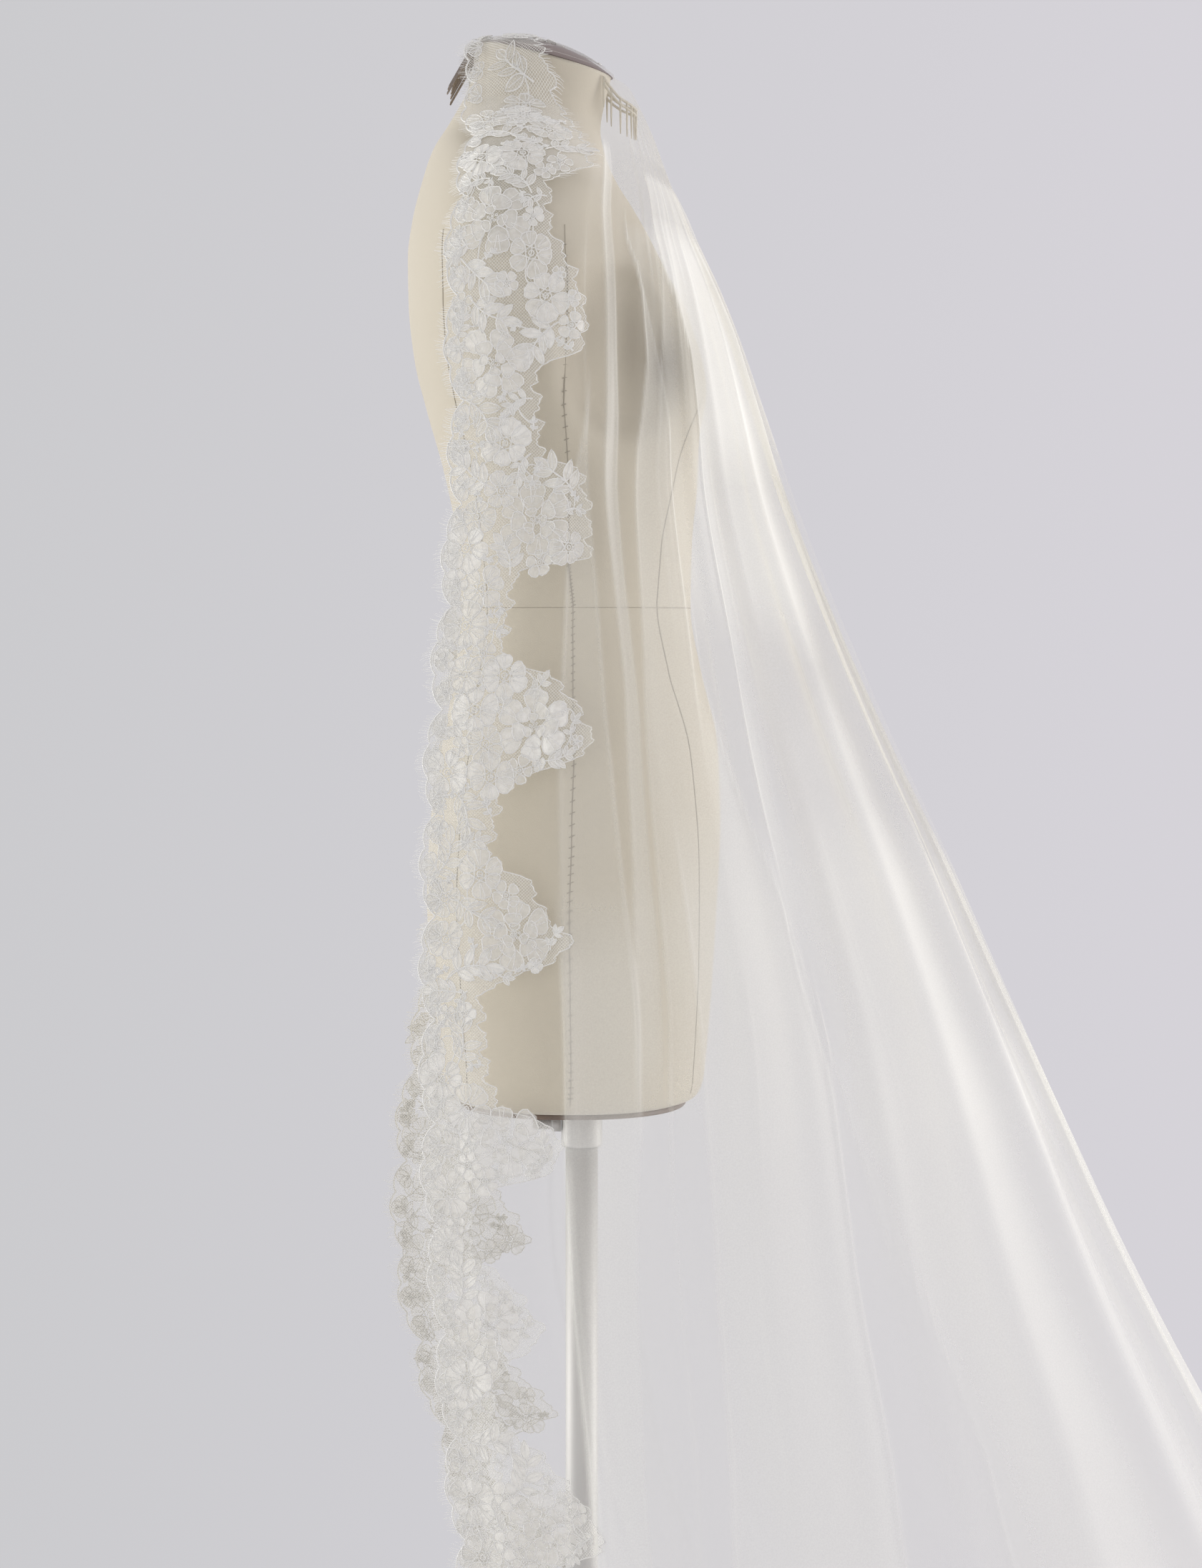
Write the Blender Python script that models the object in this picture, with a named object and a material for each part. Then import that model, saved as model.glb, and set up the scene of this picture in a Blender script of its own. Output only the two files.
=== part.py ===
# Lace-edged bridal veil draped over the neck cap of a dress form on a floor stand.
# Metres, +Z up. The pole stands on the origin, the veil opens towards -X and its train trails to +X.
# The form's own chest faces +X, so the veil's open edges fall down the form's back.

import math
from collections import namedtuple

import bpy
import numpy as np

# Cloth walls and seams
TULLE_WALL = 0.0012
LACE_WALL = 0.0016
SEAM = 0.0003
REST_GAP = 0.0013
LACE_WIDTH = 0.120
CROWN_LACE_SHARE = 0.80
SCALLOP_LENGTH = 0.077
SCALLOP_DEPTH = 0.012

# Neck cap, a tilted oval dome that the veil lies on
CAP_OVERHANG = 0.0015
CAP_RIM = 0.0012
CAP_DOME = 0.0130
CAP_SINK = 0.0006
CLOTH_OVERHANG = 0.006
CLOTH_FALL = 2.0

# Stand
FORM_BOTTOM = 0.6600
BOARD_THICKNESS = 0.0040
POLE_RADIUS = 0.0127
COLLAR_RADIUS = 0.0161
COLLAR_LENGTH = 0.0355
KNOB_RADIUS = 0.0045
KNOB_BOSS_RADIUS = 0.0062
KNOB_LENGTH = 0.0225
KNOB_BOSS_LENGTH = 0.0075
BASE_RADIUS = 0.190
BASE_THICKNESS = 0.010
HUB_RADIUS = 0.022
HUB_HEIGHT = 0.060

# Combs sewn under the veil
COMB_TEETH = 11
CLEAR_TOOTH_LENGTH = 0.018
WIRE_TOOTH_LENGTH = 0.030
COMB_SPINE_HEIGHT = 0.007
COMB_THICKNESS = 0.0022
COMB_GAP = 0.0009
CLEAR_COMB_ROW = 4
CLEAR_COMB_START = 4
WIRE_COMB_PLACE = 0.05

Section = namedtuple("Section", "back_x back_z front_x front_z half_width")
# One row for each cross-section of the form, from the neck down. A section is a rounded oval
# through its back point and its front point.
FORM_SECTIONS = (
    Section(-0.0785, 1.4885, 0.0231, 1.4612, 0.0470),
    Section(-0.0830, 1.4690, 0.0190, 1.4450, 0.0460),
    Section(-0.0908, 1.4487, 0.0147, 1.4205, 0.0520),
    Section(-0.1043, 1.4244, 0.0192, 1.3979, 0.0780),
    Section(-0.1173, 1.4019, 0.0276, 1.3776, 0.1280),
    Section(-0.1258, 1.3754, 0.0406, 1.3562, 0.1660),
    Section(-0.1331, 1.3455, 0.0545, 1.3314, 0.1820),
    Section(-0.1365, 1.3173, 0.0670, 1.3060, 0.1850),
    Section(-0.1359, 1.2806, 0.0810, 1.2750, 0.1760),
    Section(-0.1314, 1.2383, 0.0870, 1.2298, 0.1660),
    Section(-0.1218, 1.1988, 0.0910, 1.1960, 0.1560),
    Section(-0.1077, 1.1481, 0.0912, 1.1481, 0.1420),
    Section(-0.0976, 1.0945, 0.0868, 1.0945, 0.1280),
    Section(-0.0948, 1.0437, 0.0857, 1.0437, 0.1210),
    Section(-0.0998, 0.9930, 0.0942, 0.9930, 0.1380),
    Section(-0.1100, 0.9349, 0.1070, 0.9349, 0.1560),
    Section(-0.1190, 0.8745, 0.1091, 0.8745, 0.1680),
    Section(-0.1217, 0.8181, 0.1066, 0.8181, 0.1720),
    Section(-0.1170, 0.7448, 0.1021, 0.7448, 0.1700),
    Section(-0.1115, 0.7000, 0.0985, 0.7000, 0.1670),
    Section(-0.1085, 0.6740, 0.0955, 0.6740, 0.1640),
    Section(-0.1035, 0.6630, 0.0900, 0.6630, 0.1585),
    Section(-0.0960, 0.6600, 0.0820, 0.6600, 0.1500),
)
NECK = FORM_SECTIONS[0]
CAP_CENTRE = ((NECK.back_x + NECK.front_x) / 2, (NECK.back_z + NECK.front_z) / 2)
CAP_TILT = math.atan2(NECK.back_z - NECK.front_z, NECK.front_x - NECK.back_x)
CAP_HALF_LENGTH = math.hypot(NECK.front_x - NECK.back_x, NECK.back_z - NECK.front_z) / 2 + CAP_OVERHANG
CAP_HALF_WIDTH = NECK.half_width + CAP_OVERHANG
FORM_SQUARENESS = 2.25
FORM_STEPS = 40
BUST_HEIGHT = 1.2220
BUST_SPACING = 0.0760
BUST_RISE = 0.0150
BUST_SPREAD_Y = 0.0440
BUST_SPREAD_Z = 0.0480

Level = namedtuple(
    "Level",
    "front_x front_z back_x back_z side_z half_width front_share spread fold",
)
# One row for each level of the veil, from its crown line down to its hem. front is the open lace
# edge, back the ridge of the train and side the widest place. spread is 1 where the ribs stand
# evenly round the level and small where they are gathered to the back. fold is the ridges' height.
VEIL_LEVELS = (
    Level(-0.0880, 1.4900, 0.0344, 1.4560, 1.4920, 0.0000, 1.00, 0.13, 0.0000),
    Level(-0.0905, 1.4860, 0.0395, 1.4490, 1.4880, 0.0240, 0.95, 0.14, 0.0000),
    Level(-0.0920, 1.4760, 0.0450, 1.4380, 1.4780, 0.0420, 0.90, 0.15, 0.0002),
    Level(-0.0935, 1.4600, 0.0510, 1.4256, 1.4620, 0.0550, 0.88, 0.16, 0.0005),
    Level(-0.0940, 1.4400, 0.0575, 1.4100, 1.4430, 0.0690, 0.86, 0.18, 0.0010),
    Level(-0.0925, 1.4200, 0.0635, 1.3930, 1.4240, 0.0980, 0.86, 0.20, 0.0018),
    Level(-0.0895, 1.3990, 0.0700, 1.3750, 1.4040, 0.1370, 0.87, 0.22, 0.0030),
    Level(-0.0940, 1.3740, 0.0790, 1.3530, 1.3820, 0.1720, 0.88, 0.25, 0.0048),
    Level(-0.0985, 1.3440, 0.0885, 1.3270, 1.3500, 0.1940, 0.90, 0.29, 0.0060),
    Level(-0.1025, 1.3050, 0.1025, 1.2925, 1.3080, 0.2030, 0.92, 0.33, 0.0070),
    Level(-0.1035, 1.2550, 0.1180, 1.2520, 1.2550, 0.2060, 0.92, 0.38, 0.0076),
    Level(-0.0995, 1.1900, 0.1390, 1.1900, 1.1900, 0.2060, 0.92, 0.46, 0.0082),
    Level(-0.1015, 1.1200, 0.1630, 1.1200, 1.1200, 0.2050, 0.92, 0.54, 0.0086),
    Level(-0.1100, 1.0300, 0.1990, 1.0300, 1.0300, 0.2050, 0.91, 0.58, 0.0090),
    Level(-0.1175, 0.9400, 0.2390, 0.9400, 0.9400, 0.2070, 0.90, 0.62, 0.0096),
    Level(-0.1210, 0.8500, 0.2820, 0.8500, 0.8500, 0.2110, 0.89, 0.65, 0.0104),
    Level(-0.1215, 0.7500, 0.3270, 0.7500, 0.7500, 0.2160, 0.88, 0.68, 0.0112),
    Level(-0.1210, 0.6500, 0.3730, 0.6500, 0.6500, 0.2230, 0.88, 0.74, 0.0122),
    Level(-0.1140, 0.5400, 0.4240, 0.5400, 0.5400, 0.2320, 0.88, 0.82, 0.0134),
    Level(-0.1035, 0.4200, 0.4865, 0.4200, 0.4200, 0.2450, 0.88, 0.90, 0.0146),
    Level(-0.0910, 0.3000, 0.5550, 0.3000, 0.3000, 0.2620, 0.88, 1.00, 0.0156),
    Level(-0.0800, 0.1900, 0.6300, 0.1900, 0.1900, 0.2820, 0.88, 1.00, 0.0160),
    Level(-0.0700, 0.0900, 0.7140, 0.0900, 0.0900, 0.3030, 0.88, 1.00, 0.0150),
    Level(-0.0640, 0.0300, 0.7800, 0.0300, 0.0300, 0.3200, 0.88, 1.00, 0.0120),
    Level(-0.0600, 0.0000, 0.8450, 0.0000, 0.0000, 0.3420, 0.88, 1.00, 0.0080),
    Level(-0.0520, 0.0000, 0.9600, 0.0000, 0.0000, 0.3680, 0.90, 1.00, 0.0050),
    Level(-0.0350, 0.0000, 1.1200, 0.0000, 0.0000, 0.4020, 0.92, 1.00, 0.0040),
    Level(-0.0050, 0.0000, 1.2800, 0.0000, 0.0000, 0.4400, 0.94, 1.00, 0.0030),
    Level(0.0350, 0.0000, 1.4000, 0.0000, 0.0000, 0.5450, 0.93, 1.00, 0.0020),
)
LAST = len(VEIL_LEVELS) - 1
HEM_LACE_START = LAST - 1
CROWN_END = 5
CROWN_ROWS = (0, 0.5, 1, 1.5, 2, 2.5, 3, 4, CROWN_END)
TURN = 0.25

# The far front edge hangs a little further forward than the near one around this height.
FAR_EDGE_SHIFT = -0.048
FAR_EDGE_HEIGHT = 0.51
FAR_EDGE_SPREAD = 0.21

Ridge = namedtuple("Ridge", "place width height")
# Fold ridges, each at its place between the front edge, 0, and the back, 1.
NEAR_RIDGES = (
    Ridge(0.070, 0.030, 0.35),
    Ridge(0.185, 0.018, 0.90),
    Ridge(0.245, 0.016, 1.00),
    Ridge(0.292, 0.015, 0.80),
    Ridge(0.345, 0.018, 0.90),
    Ridge(0.410, 0.020, 1.00),
    Ridge(0.485, 0.024, 1.15),
    Ridge(0.600, 0.030, 1.00),
    Ridge(0.720, 0.032, 1.20),
    Ridge(0.860, 0.032, 1.00),
    Ridge(1.000, 0.034, 1.10),
)
FAR_RIDGES = (
    Ridge(0.080, 0.030, 0.40),
    Ridge(0.200, 0.018, 1.00),
    Ridge(0.262, 0.017, 0.80),
    Ridge(0.325, 0.018, 1.00),
    Ridge(0.395, 0.020, 0.90),
    Ridge(0.470, 0.022, 1.10),
    Ridge(0.560, 0.026, 1.00),
    Ridge(0.660, 0.030, 1.15),
    Ridge(0.770, 0.030, 0.95),
    Ridge(0.880, 0.030, 1.05),
    Ridge(1.000, 0.034, 1.10),
)
FLAT_SHARE = 0.16
NEAR, FAR = -1, 1
RIDGES = {NEAR: NEAR_RIDGES, FAR: FAR_RIDGES}

COLOURS = {
    "tulle": ((0.86, 0.86, 0.82), 0.80, 0.0),
    "lace": ((0.90, 0.90, 0.87), 0.75, 0.0),
    "form_cloth": ((0.80, 0.73, 0.60), 0.70, 0.0),
    "cap_wood": ((0.16, 0.10, 0.08), 0.35, 0.0),
    "board_wood": ((0.30, 0.20, 0.13), 0.55, 0.0),
    "steel": ((0.55, 0.55, 0.54), 0.35, 1.0),
    "comb_metal": ((0.55, 0.48, 0.42), 0.30, 1.0),
    "comb_plastic": ((0.85, 0.83, 0.76), 0.35, 0.0),
}


def clear_scene():
    for obj in list(bpy.data.objects):
        bpy.data.objects.remove(obj)


def material(name):
    made = bpy.data.materials.get(name)
    if made is None:
        colour, roughness, metallic = COLOURS[name]
        made = bpy.data.materials.new(name)
        made.use_nodes = True
        shader = made.node_tree.nodes["Principled BSDF"]
        shader.inputs["Base Color"].default_value = (*colour, 1.0)
        shader.inputs["Roughness"].default_value = roughness
        shader.inputs["Metallic"].default_value = metallic
    return made


def add_object(name, points, faces, finish, smooth=True):
    mesh = bpy.data.meshes.new(name)
    mesh.from_pydata([tuple(map(float, p)) for p in points], [], faces)
    mesh.validate()
    obj = bpy.data.objects.new(name, mesh)
    bpy.context.scene.collection.objects.link(obj)
    mesh.materials.append(material(finish))
    if smooth:
        mesh.shade_smooth()
        mesh.set_sharp_from_angle(angle=math.radians(50))
    return obj


# Lofted and turned solids


def loft(rings):
    """Points and faces of a closed solid through rings of equal point counts, capped at both ends."""
    count = len(rings[0])
    points = [p for ring in rings for p in ring]
    faces = []
    for r in range(len(rings) - 1):
        for i in range(count):
            j = (i + 1) % count
            faces.append((r * count + i, (r + 1) * count + i, (r + 1) * count + j, r * count + j))
    faces.append(tuple(range(count)))
    last = (len(rings) - 1) * count
    faces.append(tuple(last + i for i in reversed(range(count))))
    return points, faces


def turned(profile, steps, close_loop):
    """Turns (radius, height) points about Z. A closed loop makes a ring, otherwise both ends are capped."""
    rings = [
        [(r * math.cos(a), r * math.sin(a), z) for a in np.linspace(0, 2 * math.pi, steps, endpoint=False)]
        for r, z in profile
    ]
    if not close_loop:
        return loft(rings)
    points = [p for ring in rings for p in ring]
    faces = []
    for r in range(len(rings)):
        s = (r + 1) % len(rings)
        for i in range(steps):
            j = (i + 1) % steps
            faces.append((r * steps + i, s * steps + i, s * steps + j, r * steps + j))
    return points, faces


def rounded(value, squareness):
    return math.copysign(abs(value) ** (2 / squareness), value)


def form_ring(section):
    """One oval of the form, with the bust's two soft mounds on its front."""
    ring = []
    for step in range(FORM_STEPS):
        angle = 2 * math.pi * step / FORM_STEPS
        along = rounded(math.cos(angle), FORM_SQUARENESS)
        y = section.half_width * rounded(math.sin(angle), FORM_SQUARENESS)
        share = (along + 1) / 2
        x = section.back_x + (section.front_x - section.back_x) * share
        z = section.back_z + (section.front_z - section.back_z) * share
        if along > 0:
            across = (abs(y) - BUST_SPACING) / BUST_SPREAD_Y
            up = (z - BUST_HEIGHT) / BUST_SPREAD_Z
            x += BUST_RISE * math.exp(-(across**2) - up**2) * min(1.0, 2 * along)
        ring.append((x, y, z))
    return ring


def make_form():
    points, faces = loft([form_ring(s) for s in FORM_SECTIONS])
    add_object("dress_form", points, faces, "form_cloth")


def cap_frame(x, z):
    """Distance along the cap and height above its rim plane of a point in the middle plane."""
    dx, dz = x - CAP_CENTRE[0], z - CAP_CENTRE[1]
    along = dx * math.cos(CAP_TILT) - dz * math.sin(CAP_TILT)
    above = dx * math.sin(CAP_TILT) + dz * math.cos(CAP_TILT)
    return along, above


def cap_height(along, y):
    """Height over the cap's base plane of its dome, and of the cloth's steep fall once past its rim."""
    share = np.sqrt((along / CAP_HALF_LENGTH) ** 2 + (y / CAP_HALF_WIDTH) ** 2)
    sideways = (y / CAP_HALF_WIDTH / np.maximum(share, 1.0)) ** 2
    past_rim = np.maximum((share - 1) * CAP_HALF_WIDTH - CLOTH_OVERHANG * sideways, 0.0)
    return CAP_RIM + CAP_DOME * (1 - np.minimum(share, 1.0) ** 2) - past_rim * CLOTH_FALL


def cap_top(x, y):
    """World height of the dome's upper surface over a point, by three rounds of correction."""
    z = CAP_CENTRE[1] - (x - CAP_CENTRE[0]) * math.tan(CAP_TILT)
    for _ in range(3):
        along, above = cap_frame(x, z)
        z = z + (cap_height(along, y) - above) / math.cos(CAP_TILT)
    return z


def make_cap():
    steps = 36
    shares = (1.0, 0.975, 0.93, 0.80, 0.62, 0.40, 0.16)
    rings = []
    for n, share in enumerate(shares):
        ring = []
        for a in np.linspace(0, 2 * math.pi, steps, endpoint=False):
            along = CAP_HALF_LENGTH * share * math.cos(a)
            y = CAP_HALF_WIDTH * share * math.sin(a)
            above = SEAM if n == 0 else CAP_RIM - CAP_SINK + CAP_DOME * (1 - share**2)
            x = CAP_CENTRE[0] + along * math.cos(CAP_TILT) + above * math.sin(CAP_TILT)
            z = CAP_CENTRE[1] - along * math.sin(CAP_TILT) + above * math.cos(CAP_TILT)
            ring.append((x, y, z))
        rings.append(ring)
    points, faces = loft(rings[::-1])
    add_object("neck_cap", points, faces, "cap_wood")


def make_stand():
    bottom = FORM_BOTTOM - SEAM
    board = [
        [(x, y * 0.97, z) for x, y, _ in form_ring(FORM_SECTIONS[-1])]
        for z in (bottom, bottom - BOARD_THICKNESS)
    ]
    points, faces = loft(board)
    add_object("form_board", points, faces, "board_wood")

    under_board = bottom - BOARD_THICKNESS - SEAM
    base_top = BASE_THICKNESS + SEAM
    points, faces = turned(((POLE_RADIUS, under_board), (POLE_RADIUS, base_top)), 24, False)
    add_object("pole", points, faces, "steel")

    inner = POLE_RADIUS + SEAM
    chamfer = 0.0015
    collar = (
        (inner, under_board),
        (COLLAR_RADIUS, under_board),
        (COLLAR_RADIUS, under_board - COLLAR_LENGTH + chamfer),
        (COLLAR_RADIUS - chamfer, under_board - COLLAR_LENGTH),
        (inner, under_board - COLLAR_LENGTH),
    )
    points, faces = turned(collar, 32, True)
    add_object("pole_collar", points, faces, "steel")

    knob = (
        (KNOB_BOSS_RADIUS, COLLAR_RADIUS + SEAM),
        (KNOB_BOSS_RADIUS, COLLAR_RADIUS + SEAM + KNOB_BOSS_LENGTH),
        (KNOB_RADIUS, COLLAR_RADIUS + SEAM + KNOB_BOSS_LENGTH + chamfer),
        (KNOB_RADIUS, COLLAR_RADIUS + KNOB_LENGTH),
    )
    points, faces = turned(knob[::-1], 16, False)
    knob_z = under_board - COLLAR_LENGTH / 2
    add_object("clamp_screw", [(-z, y, x + knob_z) for x, y, z in points], faces, "steel")


def make_base():
    chamfer = 0.002
    plate = (
        (BASE_RADIUS - chamfer, 0.0),
        (BASE_RADIUS, chamfer),
        (BASE_RADIUS, BASE_THICKNESS - chamfer),
        (BASE_RADIUS - chamfer, BASE_THICKNESS),
    )
    points, faces = turned(plate[::-1], 48, False)
    add_object("base_plate", points, faces, "steel")
    bottom, inner = BASE_THICKNESS + SEAM, POLE_RADIUS + SEAM
    hub = (
        (inner, bottom + HUB_HEIGHT),
        (HUB_RADIUS - chamfer, bottom + HUB_HEIGHT),
        (HUB_RADIUS, bottom + HUB_HEIGHT - chamfer),
        (HUB_RADIUS, bottom),
        (inner, bottom),
    )
    points, faces = turned(hub, 32, True)
    add_object("base_hub", points, faces, "steel")


# The veil's surface


def steady(values, v):
    """Smooth curve through one column of the level table that never overshoots its rows."""
    y = np.array(values, float)
    step = np.diff(y)
    slope = np.zeros(len(y))
    both = step[:-1] * step[1:] > 0
    mean = 2 * step[:-1] * step[1:] / np.where(both, step[:-1] + step[1:], 1.0)
    slope[1:-1] = np.where(both, mean, 0.0)
    slope[0], slope[-1] = step[0], step[-1]
    i = np.clip(np.floor(v).astype(int), 0, len(y) - 2)
    t = v - i
    return (
        y[i] * (1 + 2 * t) * (1 - t) ** 2
        + slope[i] * t * (1 - t) ** 2
        + y[i + 1] * t**2 * (3 - 2 * t)
        - slope[i + 1] * t**2 * (1 - t)
    )


def level_at(v):
    return {name: steady([getattr(row, name) for row in VEIL_LEVELS], v) for name in Level._fields}


def smooth_surface(side, v, a):
    """Points of the veil without its folds. v runs down the levels and a from the front edge to the back."""
    v, a = np.broadcast_arrays(np.asarray(v, float), np.asarray(a, float))
    row = level_at(v)
    b = a / (a + row["spread"] * (1 - a))
    front_x = row["front_x"]
    if side == FAR:
        rise = (row["front_z"] - FAR_EDGE_HEIGHT) / FAR_EDGE_SPREAD
        front_x = front_x + FAR_EDGE_SHIFT * np.exp(-(rise**2))
    mid_x = front_x + (row["back_x"] - front_x) * TURN
    f = np.clip(b / TURN, 0, 1)
    phi = np.clip((b - TURN) / (1 - TURN), 0, 1) * math.pi / 2
    in_front = b < TURN
    x = np.where(in_front, front_x + (mid_x - front_x) * f, mid_x + (row["back_x"] - mid_x) * np.sin(phi))
    share = row["front_share"]
    width = np.where(in_front, share + (1 - share) * np.sin(f * math.pi / 2), np.cos(phi))
    y = side * row["half_width"] * width
    z_front = row["side_z"] + (row["front_z"] - row["side_z"]) * (1 - f) ** 2
    z_back = row["side_z"] + (row["back_z"] - row["side_z"]) * np.sin(phi) ** 1.5
    z = np.where(in_front, z_front, z_back)
    z = np.where(v < CROWN_END, np.maximum(z, cap_top(x, y) + REST_GAP), z)
    return np.stack([x, y, z], -1)


def normals_of(surface, side, v, a):
    """Outward unit normals by central differences. They lie in the middle plane on the crown line and
    the back ridge."""
    v, a = np.broadcast_arrays(np.asarray(v, float), np.asarray(a, float))
    d = 1e-3
    v0, v1 = np.clip(v - d, 0, LAST), np.clip(v + d, 0, LAST)
    a0, a1 = np.clip(a - d, 0, 1), np.clip(a + d, 0, 1)
    along_v = surface(side, v1, a) - surface(side, v0, a)
    along_a = surface(side, v, a1) - surface(side, v, a0)
    on_back, on_crown = (a > 1 - 1e-9)[..., None], (v < 1e-9)[..., None]
    along_a = np.where(on_back, (0.0, -side, 0.0), along_a)
    along_v = np.where(on_crown & ~on_back, (0.0, side, 0.0), along_v)
    n = np.cross(along_a, along_v) * side
    return n / np.linalg.norm(n, axis=-1, keepdims=True)


def ridge_height(side, a):
    ridges = RIDGES[side]
    height = sum(r.height / (1 + ((a - r.place) / r.width) ** 2) ** 1.5 for r in ridges)
    return np.maximum(height - FLAT_SHARE, 0.0)


def veil_surface(side, v, a):
    """Points of the veil's inner face, folds included."""
    v, a = np.broadcast_arrays(np.asarray(v, float), np.asarray(a, float))
    lift = level_at(v)["fold"] * ridge_height(side, a)
    return smooth_surface(side, v, a) + normals_of(smooth_surface, side, v, a) * lift[..., None]


def edging_places(side, v, shares):
    """Places on level v at shares of the lace's width, measured along the cloth from its front edge."""
    width = LACE_WIDTH * (CROWN_LACE_SHARE + (1 - CROWN_LACE_SHARE) * min(1.0, v / CROWN_END))
    a = np.linspace(0, 0.6, 241)
    line = veil_surface(side, v, a)
    run = np.concatenate([[0], np.cumsum(np.linalg.norm(np.diff(line, axis=0), axis=1))])
    return [float(np.interp(width * share, run, a)) for share in shares]


LACE_COLUMNS = np.linspace(0, 1, 9)
SIDE_STEP = 4
TULLE_START = 1.0 + SEAM / LACE_WIDTH
EVEN_SHARE = 0.12


def tulle_columns(side):
    """Column places between the lace limit, 0, and the back, 1, two between each pair of ridges."""
    start = 0.15
    places = [start] + [r.place for r in RIDGES[side] if r.place > start + 0.02]
    found = []
    for left, right in zip(places, places[1:]):
        found += [left + (right - left) * n / 3 for n in range(3)]
    found.append(1.0)
    return [(p - start) / (1 - start) for p in found]


def even_places(side, v, start, shares):
    """Places that stand at the given shares of the cloth's own length on level v, from start to the back."""
    a = np.linspace(start, 1, 241)
    line = veil_surface(side, v, a)
    run = np.concatenate([[0], np.cumsum(np.linalg.norm(np.diff(line, axis=0), axis=1))])
    return np.interp(run[-1] * np.array(shares), run, a)


def grid(side, rows, columns_of):
    """The cloth's inner points and normals on a grid of levels and columns."""
    points, normals = [], []
    for v in rows:
        a = np.array(columns_of(v))
        points.append(veil_surface(side, v, a))
        normals.append(normals_of(veil_surface, side, v, a))
    return np.array(points), np.array(normals)


def wall(name, inner, normals, faces, thickness, finish):
    """A closed wall from an open sheet: its inner side, an outer side moved out along the normals with each
    face cut on the same diagonal, and its rim."""
    count = len(inner)
    across = [np.cross(inner[f[2]] - inner[f[0]], inner[f[-1]] - inner[f[1]]) for f in faces]
    if sum(float(c @ normals[f[0]]) for c, f in zip(across, faces)) < 0:
        faces = [f[::-1] for f in faces]
    points = np.concatenate([inner + normals * thickness, inner])
    sides = {}
    for face in faces:
        for p, q in zip(face, face[1:] + face[:1]):
            sides[(p, q)] = sides.get((p, q), 0) + 1
    rim = [(p, q) for p, q in sides if (q, p) not in sides]
    halves = [(f[0], f[k], f[k + 1]) for f in faces for k in range(1, len(f) - 1)]
    made = halves + [tuple(count + p for p in reversed(t)) for t in halves]
    for p, q in rim:
        one, other = points[q] - points[count + p], points[p] - points[count + q]
        shorter = np.linalg.norm(one) < np.linalg.norm(other)
        corners = (q, p, count + p, count + q) if shorter else (p, count + p, count + q, q)
        made += [corners[:3], (corners[0], corners[2], corners[3])]
    add_object(name, points, made, finish)


def both_sides(near, far, zipped_back):
    """Joins a near and a far grid along the crown line, and along the back ridge where zipped_back is set."""
    (near_points, near_normals), (far_points, far_normals) = near, far
    rows, columns = near_points.shape[:2]
    points = list(near_points.reshape(-1, 3))
    normals = list(near_normals.reshape(-1, 3))
    index = np.zeros((2, rows, columns), int)
    index[0] = np.arange(rows * columns).reshape(rows, columns)
    for r in range(rows):
        for c in range(columns):
            if r == 0 or (zipped_back and c == columns - 1):
                index[1, r, c] = index[0, r, c]
                continue
            index[1, r, c] = len(points)
            points.append(far_points[r, c])
            normals.append(far_normals[r, c])
    faces = []
    for r in range(rows - 1):
        for c in range(columns - 1):
            n, f = index
            near_face = [n[r, c], n[r + 1, c], n[r + 1, c + 1], n[r, c + 1]]
            far_face = [f[r, c], f[r, c + 1], f[r + 1, c + 1], f[r + 1, c]]
            if zipped_back and r == 0 and c == columns - 2:
                # Both lines of symmetry meet here, so the two sides share all but one corner.
                near_face = near_face[:3]
                far_face = [far_face[0], *far_face[2:]]
            faces += [near_face, far_face]
    used = sorted({p for f in faces for p in f})
    place = {p: n for n, p in enumerate(used)}
    return np.array(points)[used], np.array(normals)[used], [[place[p] for p in f] for f in faces]


def make_tulle():
    rows = CROWN_ROWS + tuple(range(CROWN_END + 1, HEM_LACE_START + 1))
    grids = []
    for side in (NEAR, FAR):
        columns = tulle_columns(side)

        def places(v, side=side, columns=columns):
            start = edging_places(side, v, (TULLE_START,))[0]
            ribs = np.array([start + (1 - start) * c for c in columns])
            even = EVEN_SHARE * max(0.0, 1 - v / CROWN_END)
            return ribs * (1 - even) + even_places(side, v, start, columns) * even

        points, normals = grid(side, rows, places)
        # The last row stops a seam's gap short of the hem lace.
        back = points[-2] - points[-1]
        points[-1] += back / np.linalg.norm(back, axis=-1, keepdims=True) * SEAM
        grids.append((points, normals))
    points, normals, faces = both_sides(grids[0], grids[1], True)
    wall("veil_tulle", points, normals, faces, TULLE_WALL, "tulle")
    return grids


def between(row_points, q):
    """The point at share q of a row of evenly spaced points."""
    places = np.linspace(0, 1, len(row_points))
    return np.array([np.interp(q, places, row_points[:, k]) for k in range(3)])


def scallop(run):
    """How far the scalloped edge stands back from the cloth's outline, along the edge."""
    return SCALLOP_DEPTH * (1 - abs(math.sin(math.pi * run / SCALLOP_LENGTH)) ** 0.8)


def edge_run(points, start=0.0):
    """Distance along the outer edge at each row."""
    return start + np.concatenate([[0], np.cumsum(np.linalg.norm(np.diff(points[:, 0], axis=0), axis=1))])


def scallop_stops(run):
    """The rows of a strip, and the places between them where its scallops need one more."""
    quarter = SCALLOP_LENGTH / 4
    stops = list(run)
    for n in range(math.ceil(run[0] / quarter), math.floor(run[-1] / quarter) + 1):
        if min(abs(n * quarter - s) for s in stops) > quarter * 0.3:
            stops.append(n * quarter)
    return sorted(stops)


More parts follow.
